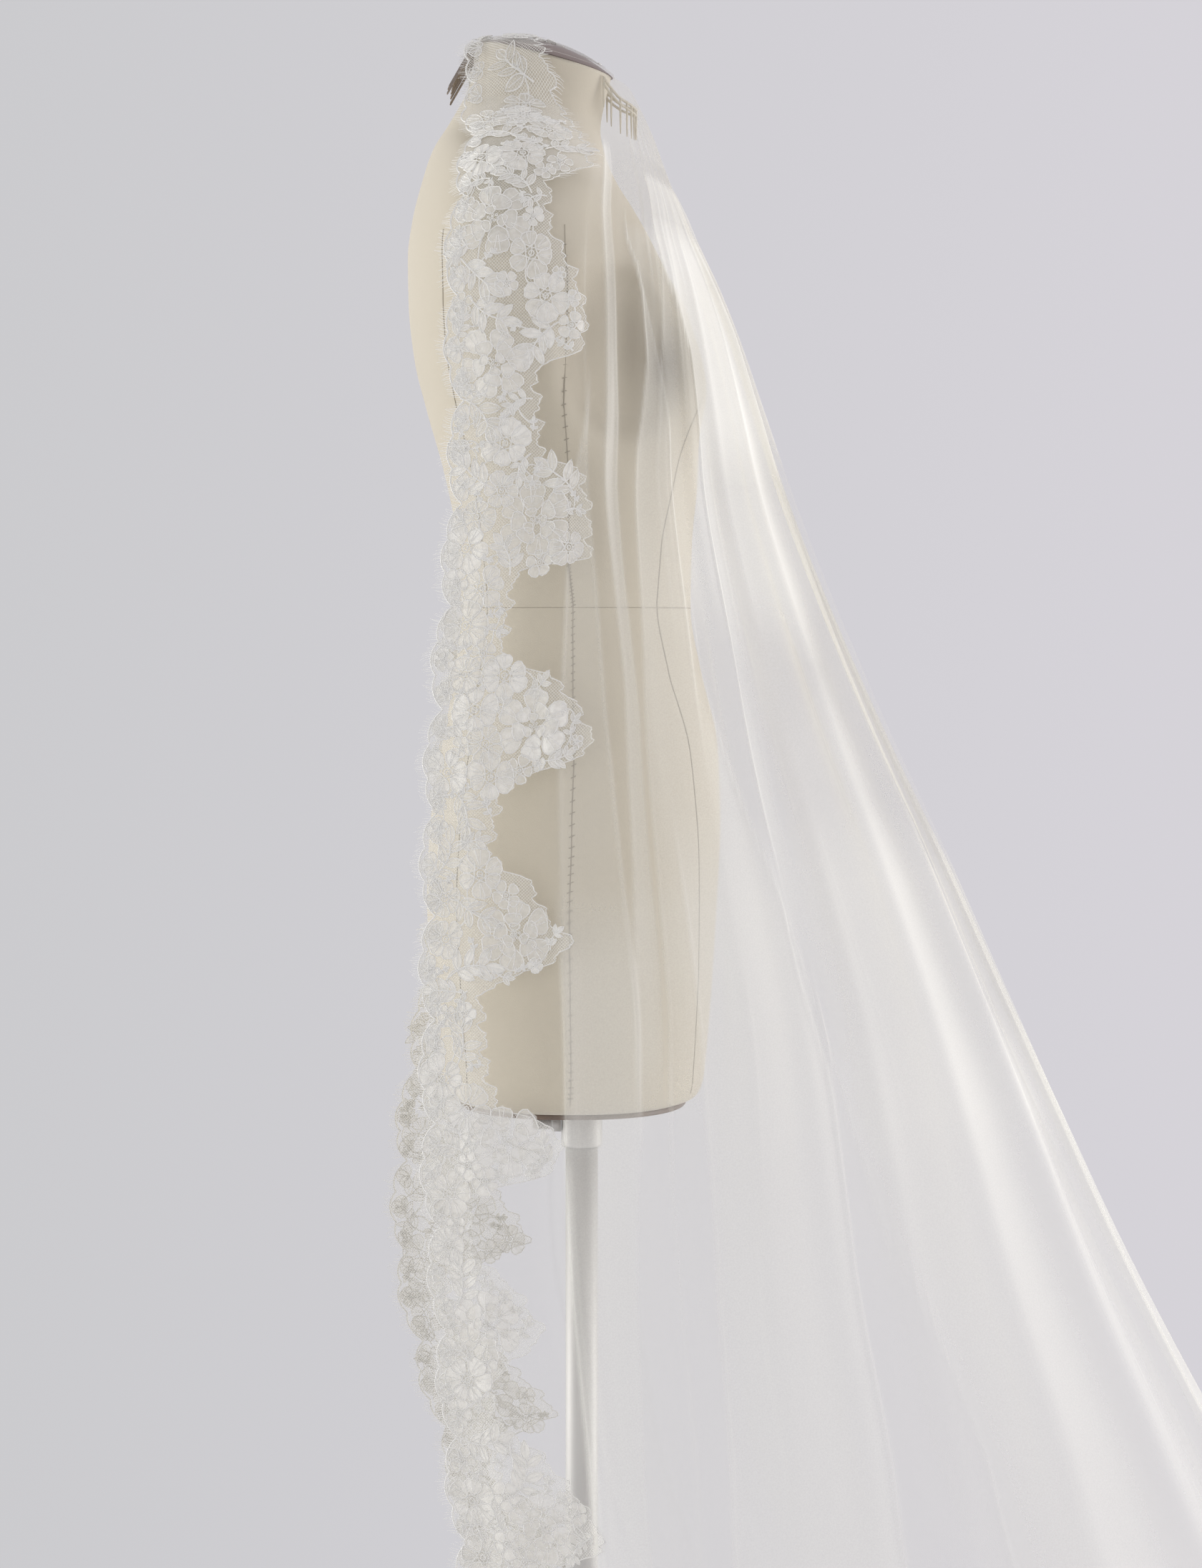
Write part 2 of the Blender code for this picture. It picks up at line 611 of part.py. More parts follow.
def edged_rows(points, normals, width, run, stops):
    """A strip with a scalloped outer edge. Each new row lies on the facets between its neighbours."""
    made_points, made_normals = [], []
    for s in stops:
        place = float(np.interp(s, run, np.arange(len(run))))
        low = min(int(place), len(run) - 2)
        t = place - low
        q = scallop(s) / width
        for rows, made in ((points, made_points), (normals, made_normals)):
            row = rows[low] * (1 - t) + rows[low + 1] * t
            made.append([between(row, q), *row[1:]])
    made_normals = np.array(made_normals)
    made_normals /= np.linalg.norm(made_normals, axis=-1, keepdims=True)
    return np.array(made_points), made_normals


def lace_places(side):
    return lambda v: edging_places(side, v, LACE_COLUMNS)


def strip_faces(rows, columns):
    return [
        [r * columns + c, (r + 1) * columns + c, (r + 1) * columns + c + 1, r * columns + c + 1]
        for r in range(rows - 1)
        for c in range(columns - 1)
    ]


def make_lace():
    """The lace edging: over the crown, down both front edges and round the hem."""
    crown = [grid(side, CROWN_ROWS, lace_places(side)) for side in (NEAR, FAR)]
    run = sum(edge_run(points) for points, _ in crown) / 2
    stops = scallop_stops(run)
    made = []
    for points, normals in crown:
        # The last row stops a seam's gap short of the side strips and follows their wider columns.
        points[-1] = np.array([between(points[-1, ::SIDE_STEP], q) for q in LACE_COLUMNS])
        back = points[-2] - points[-1]
        points[-1] += back / np.linalg.norm(back, axis=-1, keepdims=True) * SEAM
        made.append(edged_rows(points, normals, LACE_WIDTH * CROWN_LACE_SHARE, run, stops))
    points, normals, faces = both_sides(made[0], made[1], False)
    wall("veil_lace_crown", points, normals, faces, LACE_WALL, "lace")

    for side, name in ((NEAR, "veil_lace_near"), (FAR, "veil_lace_far")):
        points, normals = grid(side, range(CROWN_END, LAST + 1), lace_places(side))
        points, normals = points[:, ::SIDE_STEP], normals[:, ::SIDE_STEP]
        side_run = edge_run(points, run[-1])
        points, normals = edged_rows(points, normals, LACE_WIDTH, side_run, scallop_stops(side_run))
        faces = strip_faces(points.shape[0], points.shape[1])
        wall(name, points.reshape(-1, 3), normals.reshape(-1, 3), faces, LACE_WALL, "lace")
    make_hem_lace()


def make_hem_lace():
    """The hem's edging, from one front edge round the back of the train to the other."""
    lines = []
    for v in (LAST, HEM_LACE_START):
        line, up = [], []
        for side in (NEAR, FAR):
            start = edging_places(side, v, (TULLE_START,))[0]
            a = np.array([start + (1 - start) * c for c in tulle_columns(side)])
            points, normals = veil_surface(side, v, a), normals_of(veil_surface, side, v, a)
            line += list(points if side == NEAR else points[::-1][1:])
            up += list(normals if side == NEAR else normals[::-1][1:])
        lines.append((np.array(line), np.array(up)))
    (outer, outer_up), (inner, inner_up) = lines
    points = np.stack([outer, (outer + inner) / 2, inner], 1)
    normals = np.stack([outer_up, (outer_up + inner_up) / 2, inner_up], 1)
    width = float(np.linalg.norm(outer - inner, axis=1).mean())
    run = edge_run(points)
    points, normals = edged_rows(points, normals, width, run, scallop_stops(run))
    faces = strip_faces(points.shape[0], points.shape[1])
    wall("veil_lace_hem", points.reshape(-1, 3), normals.reshape(-1, 3), faces, LACE_WALL, "lace")


# The combs


def make_comb(name, path, inward, tooth, length, finish):
    """A comb whose spine follows a path under the cloth, with teeth along the tooth direction."""
    path, inward = np.array(path), np.array(inward)
    inward = inward / np.linalg.norm(inward, axis=1, keepdims=True)
    tooth = np.array(tooth) / np.linalg.norm(tooth)
    stations = 2 * COMB_TEETH
    run = np.linspace(0, len(path) - 1, stations)
    line = np.array([[np.interp(s, range(len(path)), path[:, k]) for k in range(3)] for s in run])
    normal = np.array([[np.interp(s, range(len(path)), inward[:, k]) for k in range(3)] for s in run])
    points = [line, line + tooth * COMB_SPINE_HEIGHT, line + tooth * (COMB_SPINE_HEIGHT + length)]
    taper = 0.25
    tips = points[2].copy()
    for n in range(COMB_TEETH):
        left, right = tips[2 * n].copy(), tips[2 * n + 1].copy()
        points[2][2 * n] = left + (right - left) * taper
        points[2][2 * n + 1] = right - (right - left) * taper
    flat = np.concatenate(points)
    faces = [[n, n + 1, stations + n + 1, stations + n] for n in range(stations - 1)]
    faces += [
        [stations + n, stations + n + 1, 2 * stations + n + 1, 2 * stations + n]
        for n in range(0, stations, 2)
    ]
    wall(name, flat, np.tile(normal, (3, 1)), faces, COMB_THICKNESS, finish)


def make_combs(tulle_grids):
    """Both combs lie just inside the cloth, along the straight lines between its own corner points."""
    (near, near_up), (far, far_up) = tulle_grids
    row, start = CLEAR_COMB_ROW, CLEAR_COMB_START
    path = np.concatenate([near[row, start:], far[row, start:-1][::-1]])
    inward = -np.concatenate([near_up[row, start:], far_up[row, start:-1][::-1]])
    path += inward * COMB_GAP
    make_comb("comb_clear", path, inward, (0.0, 0.0, -1.0), CLEAR_TOOTH_LENGTH, "comb_plastic")

    path, inward = [], []
    for side, levels in ((NEAR, (2, 1.5, 1, 0.5, 0)), (FAR, (0.5, 1, 1.5, 2))):
        for v in levels:
            a = np.array(lace_places(side)(v))
            path.append(between(veil_surface(side, v, a), WIRE_COMB_PLACE))
            inward.append(-between(normals_of(veil_surface, side, v, a), WIRE_COMB_PLACE))
    inward = np.array(inward)
    path = np.array(path) + inward * COMB_GAP
    make_comb("comb_wire", path, inward, (-0.50, 0.0, -0.87), WIRE_TOOTH_LENGTH, "comb_metal")


def main():
    clear_scene()
    make_form()
    make_cap()
    make_stand()
    make_base()
    tulle_grids = make_tulle()
    make_lace()
    make_combs(tulle_grids)


main()
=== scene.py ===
import math
from collections import namedtuple
from functools import partial

import bpy
import numpy as np
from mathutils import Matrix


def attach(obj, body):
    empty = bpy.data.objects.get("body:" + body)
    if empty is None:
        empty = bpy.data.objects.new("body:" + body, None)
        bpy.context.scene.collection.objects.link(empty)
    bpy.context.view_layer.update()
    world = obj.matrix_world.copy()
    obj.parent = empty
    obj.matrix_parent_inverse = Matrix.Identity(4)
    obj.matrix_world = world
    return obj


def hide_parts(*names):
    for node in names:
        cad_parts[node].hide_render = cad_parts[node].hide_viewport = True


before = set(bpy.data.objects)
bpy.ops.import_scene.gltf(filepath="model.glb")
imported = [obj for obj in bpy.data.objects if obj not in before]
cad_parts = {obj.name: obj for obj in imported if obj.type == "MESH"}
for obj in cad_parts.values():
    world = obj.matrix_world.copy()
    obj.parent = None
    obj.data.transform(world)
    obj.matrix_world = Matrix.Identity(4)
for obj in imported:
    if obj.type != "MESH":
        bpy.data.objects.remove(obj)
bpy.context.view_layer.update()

rng = np.random.default_rng(7)

# The veil's levels from crown line to hem, as in the frame. front is the lace edge, back the train's ridge.
Level = namedtuple("Level", "frontX frontZ backX backZ sideZ halfWidth frontShare spread fold")
levels = [Level(*row) for row in (
    (-0.0880, 1.4900, 0.0344, 1.4560, 1.4920, 0.0000, 1.00, 0.13, 0.0000),
    (-0.0905, 1.4860, 0.0395, 1.4490, 1.4880, 0.0240, 0.95, 0.14, 0.0000),
    (-0.0920, 1.4760, 0.0450, 1.4380, 1.4780, 0.0420, 0.90, 0.15, 0.0002),
    (-0.0935, 1.4600, 0.0510, 1.4256, 1.4620, 0.0550, 0.88, 0.16, 0.0005),
    (-0.0940, 1.4400, 0.0575, 1.4100, 1.4430, 0.0690, 0.86, 0.18, 0.0010),
    (-0.0925, 1.4200, 0.0635, 1.3930, 1.4240, 0.0980, 0.86, 0.20, 0.0018),
    (-0.0895, 1.3990, 0.0700, 1.3750, 1.4040, 0.1370, 0.87, 0.22, 0.0030),
    (-0.0940, 1.3740, 0.0790, 1.3530, 1.3820, 0.1720, 0.88, 0.25, 0.0048),
    (-0.0985, 1.3440, 0.0885, 1.3270, 1.3500, 0.1940, 0.90, 0.29, 0.0060),
    (-0.1025, 1.3050, 0.1025, 1.2925, 1.3080, 0.2030, 0.92, 0.33, 0.0070),
    (-0.1035, 1.2550, 0.1180, 1.2520, 1.2550, 0.2060, 0.92, 0.38, 0.0076),
    (-0.0995, 1.1900, 0.1390, 1.1900, 1.1900, 0.2060, 0.92, 0.46, 0.0082),
    (-0.1015, 1.1200, 0.1630, 1.1200, 1.1200, 0.2050, 0.92, 0.54, 0.0086),
    (-0.1100, 1.0300, 0.1990, 1.0300, 1.0300, 0.2050, 0.91, 0.58, 0.0090),
    (-0.1175, 0.9400, 0.2390, 0.9400, 0.9400, 0.2070, 0.90, 0.62, 0.0096),
    (-0.1210, 0.8500, 0.2820, 0.8500, 0.8500, 0.2110, 0.89, 0.65, 0.0104),
    (-0.1215, 0.7500, 0.3270, 0.7500, 0.7500, 0.2160, 0.88, 0.68, 0.0112),
    (-0.1210, 0.6500, 0.3730, 0.6500, 0.6500, 0.2230, 0.88, 0.74, 0.0122),
    (-0.1140, 0.5400, 0.4240, 0.5400, 0.5400, 0.2320, 0.88, 0.82, 0.0134),
    (-0.1035, 0.4200, 0.4865, 0.4200, 0.4200, 0.2450, 0.88, 0.90, 0.0146),
    (-0.0910, 0.3000, 0.5550, 0.3000, 0.3000, 0.2620, 0.88, 1.00, 0.0156),
    (-0.0800, 0.1900, 0.6300, 0.1900, 0.1900, 0.2820, 0.88, 1.00, 0.0160),
    (-0.0700, 0.0900, 0.7140, 0.0900, 0.0900, 0.3030, 0.88, 1.00, 0.0150),
    (-0.0640, 0.0300, 0.7800, 0.0300, 0.0300, 0.3200, 0.88, 1.00, 0.0120),
    (-0.0600, 0.0000, 0.8450, 0.0000, 0.0000, 0.3420, 0.88, 1.00, 0.0080),
    (-0.0520, 0.0000, 0.9600, 0.0000, 0.0000, 0.3680, 0.90, 1.00, 0.0050),
    (-0.0350, 0.0000, 1.1200, 0.0000, 0.0000, 0.4020, 0.92, 1.00, 0.0040),
    (-0.0050, 0.0000, 1.2800, 0.0000, 0.0000, 0.4400, 0.94, 1.00, 0.0030),
    (0.0350, 0.0000, 1.4000, 0.0000, 0.0000, 0.5450, 0.93, 1.00, 0.0020),
)]
near, far = -1, 1
Ridge = namedtuple("Ridge", "place width height")
ridges = {
    near: [Ridge(*r) for r in (
        (0.070, 0.030, 0.35), (0.185, 0.018, 0.90), (0.245, 0.016, 1.00), (0.292, 0.015, 0.80),
        (0.345, 0.018, 0.90), (0.410, 0.020, 1.00), (0.485, 0.024, 1.15), (0.600, 0.030, 1.00),
        (0.720, 0.032, 1.20), (0.860, 0.032, 1.00), (1.000, 0.034, 1.10))],
    far: [Ridge(*r) for r in (
        (0.080, 0.030, 0.40), (0.200, 0.018, 1.00), (0.262, 0.017, 0.80), (0.325, 0.018, 1.00),
        (0.395, 0.020, 0.90), (0.470, 0.022, 1.10), (0.560, 0.026, 1.00), (0.660, 0.030, 1.15),
        (0.770, 0.030, 0.95), (0.880, 0.030, 1.05), (1.000, 0.034, 1.10))],
}
form = {
    # back x, back z, front x, front z, half width, from the neck down
    "rings": (
        (-0.0785, 1.4885, 0.0231, 1.4612, 0.0470), (-0.0830, 1.4690, 0.0190, 1.4450, 0.0460),
        (-0.0908, 1.4487, 0.0147, 1.4205, 0.0520), (-0.1043, 1.4244, 0.0192, 1.3979, 0.0780),
        (-0.1173, 1.4019, 0.0276, 1.3776, 0.1280), (-0.1258, 1.3754, 0.0406, 1.3562, 0.1660),
        (-0.1331, 1.3455, 0.0545, 1.3314, 0.1820), (-0.1365, 1.3173, 0.0670, 1.3060, 0.1850),
        (-0.1359, 1.2806, 0.0810, 1.2750, 0.1760), (-0.1314, 1.2383, 0.0870, 1.2298, 0.1660),
        (-0.1218, 1.1988, 0.0910, 1.1960, 0.1560), (-0.1077, 1.1481, 0.0912, 1.1481, 0.1420),
        (-0.0976, 1.0945, 0.0868, 1.0945, 0.1280), (-0.0948, 1.0437, 0.0857, 1.0437, 0.1210),
        (-0.0998, 0.9930, 0.0942, 0.9930, 0.1380), (-0.1100, 0.9349, 0.1070, 0.9349, 0.1560),
        (-0.1190, 0.8745, 0.1091, 0.8745, 0.1680), (-0.1217, 0.8181, 0.1066, 0.8181, 0.1720),
        (-0.1170, 0.7448, 0.1021, 0.7448, 0.1700), (-0.1115, 0.7000, 0.0985, 0.7000, 0.1670),
        (-0.1085, 0.6740, 0.0955, 0.6740, 0.1640), (-0.1035, 0.6630, 0.0900, 0.6630, 0.1585),
        (-0.0960, 0.6600, 0.0820, 0.6600, 0.1500)),
    "squareness": 2.25,
    "bust": {"height": 1.222, "spacing": 0.076, "rise": 0.015, "spreadY": 0.044, "spreadZ": 0.048},
    # a shallow oval plate where an arm would be
    "plate": {"x": 0.028, "z": 1.238, "long": 0.044, "high": 0.066, "deep": 0.032},
    # painted shadow in the hollow, as darker spots in the cloth's colour: x, height, half width, half height
    # and share
    "paintedShadows": ((0.066, 1.232, 0.012, 0.026, 1.0), (0.040, 1.246, 0.015, 0.052, 0.6)),
}


# Node materials

class Value:
    # one socket that takes part in sums, so that shader maths reads as maths
    def __init__(self, tree, socket):
        self.tree, self.socket = tree, socket

    def math(self, operation, other=None, first=False):
        # first puts the other value before this one
        node = self.tree.nodes.new("ShaderNodeMath")
        node.operation = operation
        values = [self] if other is None else [other, self] if first else [self, other]
        for place, value in zip(node.inputs, values):
            feed(self.tree, place, value)
        return Value(self.tree, node.outputs[0])

    def __add__(self, other):
        return self.math("ADD", other)

    def __sub__(self, other):
        return self.math("SUBTRACT", other)

    def __rsub__(self, other):
        return self.math("SUBTRACT", other, True)

    def __mul__(self, other):
        return self.math("MULTIPLY", other)

    def __truediv__(self, other):
        return self.math("DIVIDE", other)

    def __pow__(self, other):
        return self.math("POWER", other)

    def __rpow__(self, other):
        return self.math("POWER", other, True)

    def __neg__(self):
        return self * -1

    def __abs__(self):
        return self.math("ABSOLUTE")

    __radd__, __rmul__ = __add__, __mul__

    def clip(self, low=0.0, high=1.0):
        return self.math("MAXIMUM", low).math("MINIMUM", high)


def feed(tree, place, value):
    if isinstance(value, Value):
        tree.links.new(value.socket, place)
    elif isinstance(value, tuple) and len(value) == 3 and place.type == "RGBA":
        place.default_value = (*value, 1.0)
    else:
        place.default_value = value


class Finish:
    def __init__(self, name, **sockets):
        self.material = bpy.data.materials.new(name)
        self.material.use_nodes = True
        self.tree = self.material.node_tree
        self.shader = self.tree.nodes["Principled BSDF"]
        self.output = self.tree.nodes["Material Output"]
        self.set(**sockets)

    def set(self, **sockets):
        for name, value in sockets.items():
            feed(self.tree, self.shader.inputs[name.replace("_", " ")], value)

    def node(self, kind, output, settings=None, **values):
        made = self.tree.nodes.new("ShaderNode" + kind)
        for name, value in (settings or {}).items():
            setattr(made, name, value)
        for name, value in values.items():
            feed(self.tree, made.inputs[name.replace("_", " ")], value)
        return Value(self.tree, made.outputs[output])

    def attribute(self, name):
        return self.node("Attribute", "Fac", {"attribute_name": name})

    def coordinates(self, scale=(1.0, 1.0, 1.0), turn=(0.0, 0.0, 0.0)):
        place = self.node("TexCoord", "Object")
        return self.node("Mapping", "Vector", Vector=place, Scale=scale, Rotation=turn)

    def noise(self, scale, detail=3.0, vector=None):
        vector = vector or self.coordinates()
        return self.node("TexNoise", "Fac", Vector=vector, Scale=scale, Detail=detail)

    def mix(self, factor, first, second):
        made = self.tree.nodes.new("ShaderNodeMix")
        made.data_type = "RGBA"
        for number, value in ((0, factor), (6, first), (7, second)):
            feed(self.tree, made.inputs[number], value)
        return Value(self.tree, made.outputs[2])

    def bump(self, height, strength, distance):
        self.set(Normal=self.node("Bump", "Normal", Height=height, Strength=strength, Distance=distance))

    def sheer(self, opacity):
        # lets light through where opacity is under 1
        clear = self.tree.nodes.new("ShaderNodeBsdfTransparent")
        both = self.tree.nodes.new("ShaderNodeMixShader")
        feed(self.tree, both.inputs[0], opacity)
        self.tree.links.new(clear.outputs[0], both.inputs[1])
        self.tree.links.new(self.shader.outputs[0], both.inputs[2])
        self.tree.links.new(both.outputs[0], self.output.inputs["Surface"])


def tulleFinish():
    look = {"thread": 0.131, "edge": 0.32, "colour": (0.93, 0.922, 0.855), "shade": (0.91, 0.898, 0.828)}
    f = Finish("tulle", Roughness=0.65, Specular_IOR_Level=0.2)
    f.set(Sheen_Weight=0.1, Sheen_Roughness=0.5)
    facing = f.node("LayerWeight", "Facing", Blend=0.5)
    crossed = 1.0 - facing + look["edge"]          # a thread net closes up as it turns edge on
    weave = f.noise(900.0, 1.0) * 0.3 + 0.85
    depth = f.attribute("layers") * look["thread"] * weave / crossed
    f.sheer(1.0 - math.e ** -depth)
    f.set(Base_Color=f.mix(f.noise(14.0), look["shade"], look["colour"]))
    f.bump(f.noise(700.0, 2.0), 0.1, 0.0004)
    return f.material


def netFinish():
    # diamond mesh with small holes, closed a little where the lace's ground is worked
    pitch = 0.0024
    f = Finish("lace_net", Roughness=0.7, Base_Color=(0.88, 0.865, 0.80))
    across, run = f.attribute("across"), f.attribute("run")
    waves = [abs((way * (math.pi / pitch)).math("SINE")) for way in (across + run, across - run)]
    thread = ((0.36 - waves[0].math("MINIMUM", waves[1])) * 6.0).clip()
    f.sheer((thread * 0.72 + f.noise(55.0) * 0.22).clip())
    f.bump(thread, 0.4, 0.0003)
    return f.material


def laceFinish():
    # woven petals: close diagonal ribs with a cloudy, uneven fill that each motif wears to its own depth
    f = Finish("lace_cloth", Roughness=0.75, Specular_IOR_Level=0.25)
    f.set(Sheen_Weight=0.15, Sheen_Roughness=0.4)
    cloud = f.noise(210.0, 4.0)
    ribs = f.node("TexWave", "Fac", {"bands_direction": "DIAGONAL"}, Scale=260.0, Distortion=3.0)
    f.set(Base_Color=f.mix(cloud, (0.87, 0.850, 0.785), (0.96, 0.945, 0.885)))
    f.sheer((f.attribute("cover") * (cloud * 0.7 + ribs * 0.14 + 0.50)).clip(0.15, 0.97))
    f.bump(ribs * 0.5 + cloud, 0.5, 0.0006)
    return f.material


def cordFinish():
    f = Finish("lace_cord", Roughness=0.5, Specular_IOR_Level=0.4)
    twist = f.node("TexWave", "Fac", {"bands_direction": "DIAGONAL"}, Scale=420.0, Distortion=1.0)
    f.set(Base_Color=f.mix(twist, (0.93, 0.915, 0.865), (0.98, 0.970, 0.925)))
    f.bump(twist, 0.5, 0.0004)
    return f.material


def formFinish():
    # cream jersey with a fine knit and faint handling marks
    f = Finish("form_cloth", Specular_IOR_Level=0.2)
    f.set(Sheen_Weight=0.1, Sheen_Roughness=0.5)
    cloud, knit = f.noise(9.0, 4.0), f.noise(1400.0, 2.0, f.coordinates((1.0, 1.0, 0.6)))
    cloth = f.mix(cloud, (0.571, 0.521, 0.420), (0.604, 0.554, 0.452))
    # the shade attribute paints shadow into the arm hollow, and gives the seam threads their own darker tone
    f.set(Base_Color=f.mix(f.attribute("shade"), cloth, (0.24, 0.208, 0.160)), Roughness=knit * 0.2 + 0.7)
    f.bump(knit, 0.35, 0.0005)
    return f.material


def woodFinish(name, dark, light, roughness, coat):
    f = Finish(name, Coat_Weight=coat, Coat_Roughness=0.2)
    grain = f.noise(38.0, 6.0, f.coordinates((0.35, 3.0, 1.0)))
    f.set(Base_Color=f.mix(grain ** 1.6, dark, light), Roughness=grain * 0.2 + roughness)
    f.bump(grain, 0.2, 0.0005)
    return f.material


def metalFinish(name, colour, roughness, stretch, metallic=1.0):
    f = Finish(name, Metallic=metallic)
    brush = f.noise(260.0, 4.0, f.coordinates(stretch))
    groove = tuple(c * 0.86 for c in colour)
    f.set(Base_Color=f.mix(brush, groove, colour), Roughness=brush * 0.18 + roughness)
    f.bump(brush, 0.12, 0.0002)
    return f.material


def plasticFinish():
    f = Finish("comb_plastic", IOR=1.49)
    haze = f.noise(60.0)
    f.set(Base_Color=f.mix(haze, (0.56, 0.51, 0.40), (0.68, 0.63, 0.52)), Roughness=haze * 0.1 + 0.2)
    edge = f.node("LayerWeight", "Facing", Blend=0.3)
    f.sheer(edge * 0.3 + 0.7)
    return f.material


def floorFinish():
    # pale paper that fades out with distance, so that no horizon line shows
    f = Finish("floor", Specular_IOR_Level=0.1)
    paper = f.noise(30.0)
    f.set(Base_Color=f.mix(paper, (0.70, 0.69, 0.715), (0.72, 0.71, 0.735)), Roughness=paper * 0.1 + 0.85)
    f.sheer(f.attribute("fade").clip())
    return f.material


finishes = {
    "tulle": tulleFinish(), "net": netFinish(), "lace": laceFinish(), "cord": cordFinish(),
    "form": formFinish(),
    "cap": woodFinish("cap_wood", (0.070, 0.034, 0.028), (0.18, 0.105, 0.088), 0.38, 0.15),
    "board": woodFinish("board_wood", (0.10, 0.06, 0.04), (0.22, 0.14, 0.09), 0.5, 0.1),
    "steel": metalFinish("steel", (0.64, 0.63, 0.605), 0.5, (9.0, 9.0, 0.05), 0.5),
    "wire": metalFinish("comb_metal", (0.30, 0.25, 0.21), 0.22, (1.0, 1.0, 1.0)),
    "plastic": plasticFinish(), "floor": floorFinish(),
}
print("materials made")


# Meshes

def addMesh(name, points, faces, finish, attributes=None):
    points, faces = np.asarray(points, float), np.asarray(faces, np.int32)
    mesh = bpy.data.meshes.new(name)
    mesh.vertices.add(len(points))
    mesh.vertices.foreach_set("co", points.ravel())
    corners = faces.shape[1]
    mesh.loops.add(faces.size)
    mesh.loops.foreach_set("vertex_index", faces.ravel())
    mesh.polygons.add(len(faces))
    mesh.polygons.foreach_set("loop_start", np.arange(0, faces.size, corners, dtype=np.int32))
    mesh.update(calc_edges=True)
    for key, values in (attributes or {}).items():
        made = mesh.attributes.new(key, "FLOAT", "POINT")
        made.data.foreach_set("value", np.asarray(values, np.float32).ravel())
    mesh.materials.append(finishes[finish])
    mesh.shade_smooth()
    obj = bpy.data.objects.new(name, mesh)
    bpy.context.scene.collection.objects.link(obj)
    return obj


def gridFaces(rows, columns, closed=False):
    r = np.arange(rows - 1)[:, None]
    c = np.arange(columns if closed else columns - 1)[None, :]
    d = (c + 1) % columns
    top, low = r * columns, (r + 1) * columns
    return np.stack([top + c, top + d, low + d, low + c], -1).reshape(-1, 4)


# The veil's surface, the same sums as the frame's

def steady(values, v):
    y = np.array(values, float)
    step = np.diff(y)
    slope = np.zeros(len(y))
    both = step[:-1] * step[1:] > 0
    slope[1:-1] = np.where(both, 2 * step[:-1] * step[1:] / np.where(both, step[:-1] + step[1:], 1.0), 0.0)
    slope[0], slope[-1] = step[0], step[-1]
    i = np.clip(np.floor(v).astype(int), 0, len(y) - 2)
    t = v - i
    return (y[i] * (1 + 2 * t) * (1 - t) ** 2 + slope[i] * t * (1 - t) ** 2
            + y[i + 1] * t**2 * (3 - 2 * t) - slope[i + 1] * t**2 * (1 - t))


def levelAt(v):
    return Level(*(steady([getattr(row, name) for row in levels], v) for name in Level._fields))


neck = form["rings"][0]
cap = {
    "x": (neck[0] + neck[2]) / 2, "z": (neck[1] + neck[3]) / 2,
    "tilt": math.atan2(neck[1] - neck[3], neck[2] - neck[0]),
    "long": math.hypot(neck[2] - neck[0], neck[1] - neck[3]) / 2 + 0.0015, "wide": neck[4] + 0.0015,
    "rim": 0.0012, "dome": 0.0130, "sink": 0.0006, "overhang": 0.006, "fall": 2.0, "rest": 0.0013,
}


def capTop(x, y):
    z = cap["z"] - (x - cap["x"]) * math.tan(cap["tilt"])
    for _ in range(3):
        dx, dz = x - cap["x"], z - cap["z"]
        along = dx * math.cos(cap["tilt"]) - dz * math.sin(cap["tilt"])
        above = dx * math.sin(cap["tilt"]) + dz * math.cos(cap["tilt"])
        share = np.sqrt((along / cap["long"]) ** 2 + (y / cap["wide"]) ** 2)
        sideways = (y / cap["wide"] / np.maximum(share, 1.0)) ** 2
        pastRim = np.maximum((share - 1) * cap["wide"] - cap["overhang"] * sideways, 0.0)
        height = cap["rim"] + cap["dome"] * (1 - np.minimum(share, 1.0) ** 2) - pastRim * cap["fall"]
        z = z + (height - above) / math.cos(cap["tilt"])
    return z


last, crownEnd, turn = len(levels) - 1, 5, 0.25


def smoothSurface(side, v, a):
    v, a = np.broadcast_arrays(np.asarray(v, float), np.asarray(a, float))
    row = levelAt(v)
    b = a / (a + row.spread * (1 - a))
    frontX = row.frontX
    if side == far:
        frontX = frontX - 0.048 * np.exp(-(((row.frontZ - 0.51) / 0.21) ** 2))
    midX = frontX + (row.backX - frontX) * turn
    f, phi = np.clip(b / turn, 0, 1), np.clip((b - turn) / (1 - turn), 0, 1) * math.pi / 2
    inFront = b < turn
    x = np.where(inFront, frontX + (midX - frontX) * f, midX + (row.backX - midX) * np.sin(phi))
    width = np.where(inFront, row.frontShare + (1 - row.frontShare) * np.sin(f * math.pi / 2), np.cos(phi))
    y = side * row.halfWidth * width
    z = np.where(inFront, row.sideZ + (row.frontZ - row.sideZ) * (1 - f) ** 2,
                 row.sideZ + (row.backZ - row.sideZ) * np.sin(phi) ** 1.5)
    z = np.where(v < crownEnd, np.maximum(z, capTop(x, y) + cap["rest"]), z)
    return np.stack([x, y, z], -1)


def normalsOf(surface, side, v, a):
    v, a = np.broadcast_arrays(np.asarray(v, float), np.asarray(a, float))
    d = 1e-3
    alongV = surface(side, np.clip(v + d, 0, last), a) - surface(side, np.clip(v - d, 0, last), a)
    alongA = surface(side, v, np.clip(a + d, 0, 1)) - surface(side, v, np.clip(a - d, 0, 1))
    onBack, onCrown = (a > 1 - 1e-9)[..., None], (v < 1e-9)[..., None]
    alongA = np.where(onBack, (0.0, -side, 0.0), alongA)
    alongV = np.where(onCrown & ~onBack, (0.0, side, 0.0), alongV)
    n = np.cross(alongA, alongV) * side
    return n / np.linalg.norm(n, axis=-1, keepdims=True)


def ridgeHeight(side, a):
    height = sum(r.height / (1 + ((a - r.place) / r.width) ** 2) ** 1.5 for r in ridges[side])
    return np.maximum(height - 0.16, 0.0)


def veilSurface(side, v, a):
    v, a = np.broadcast_arrays(np.asarray(v, float), np.asarray(a, float))
    lift = levelAt(v).fold * ridgeHeight(side, a)
    return smoothSurface(side, v, a) + normalsOf(smoothSurface, side, v, a) * lift[..., None]


# Tulle

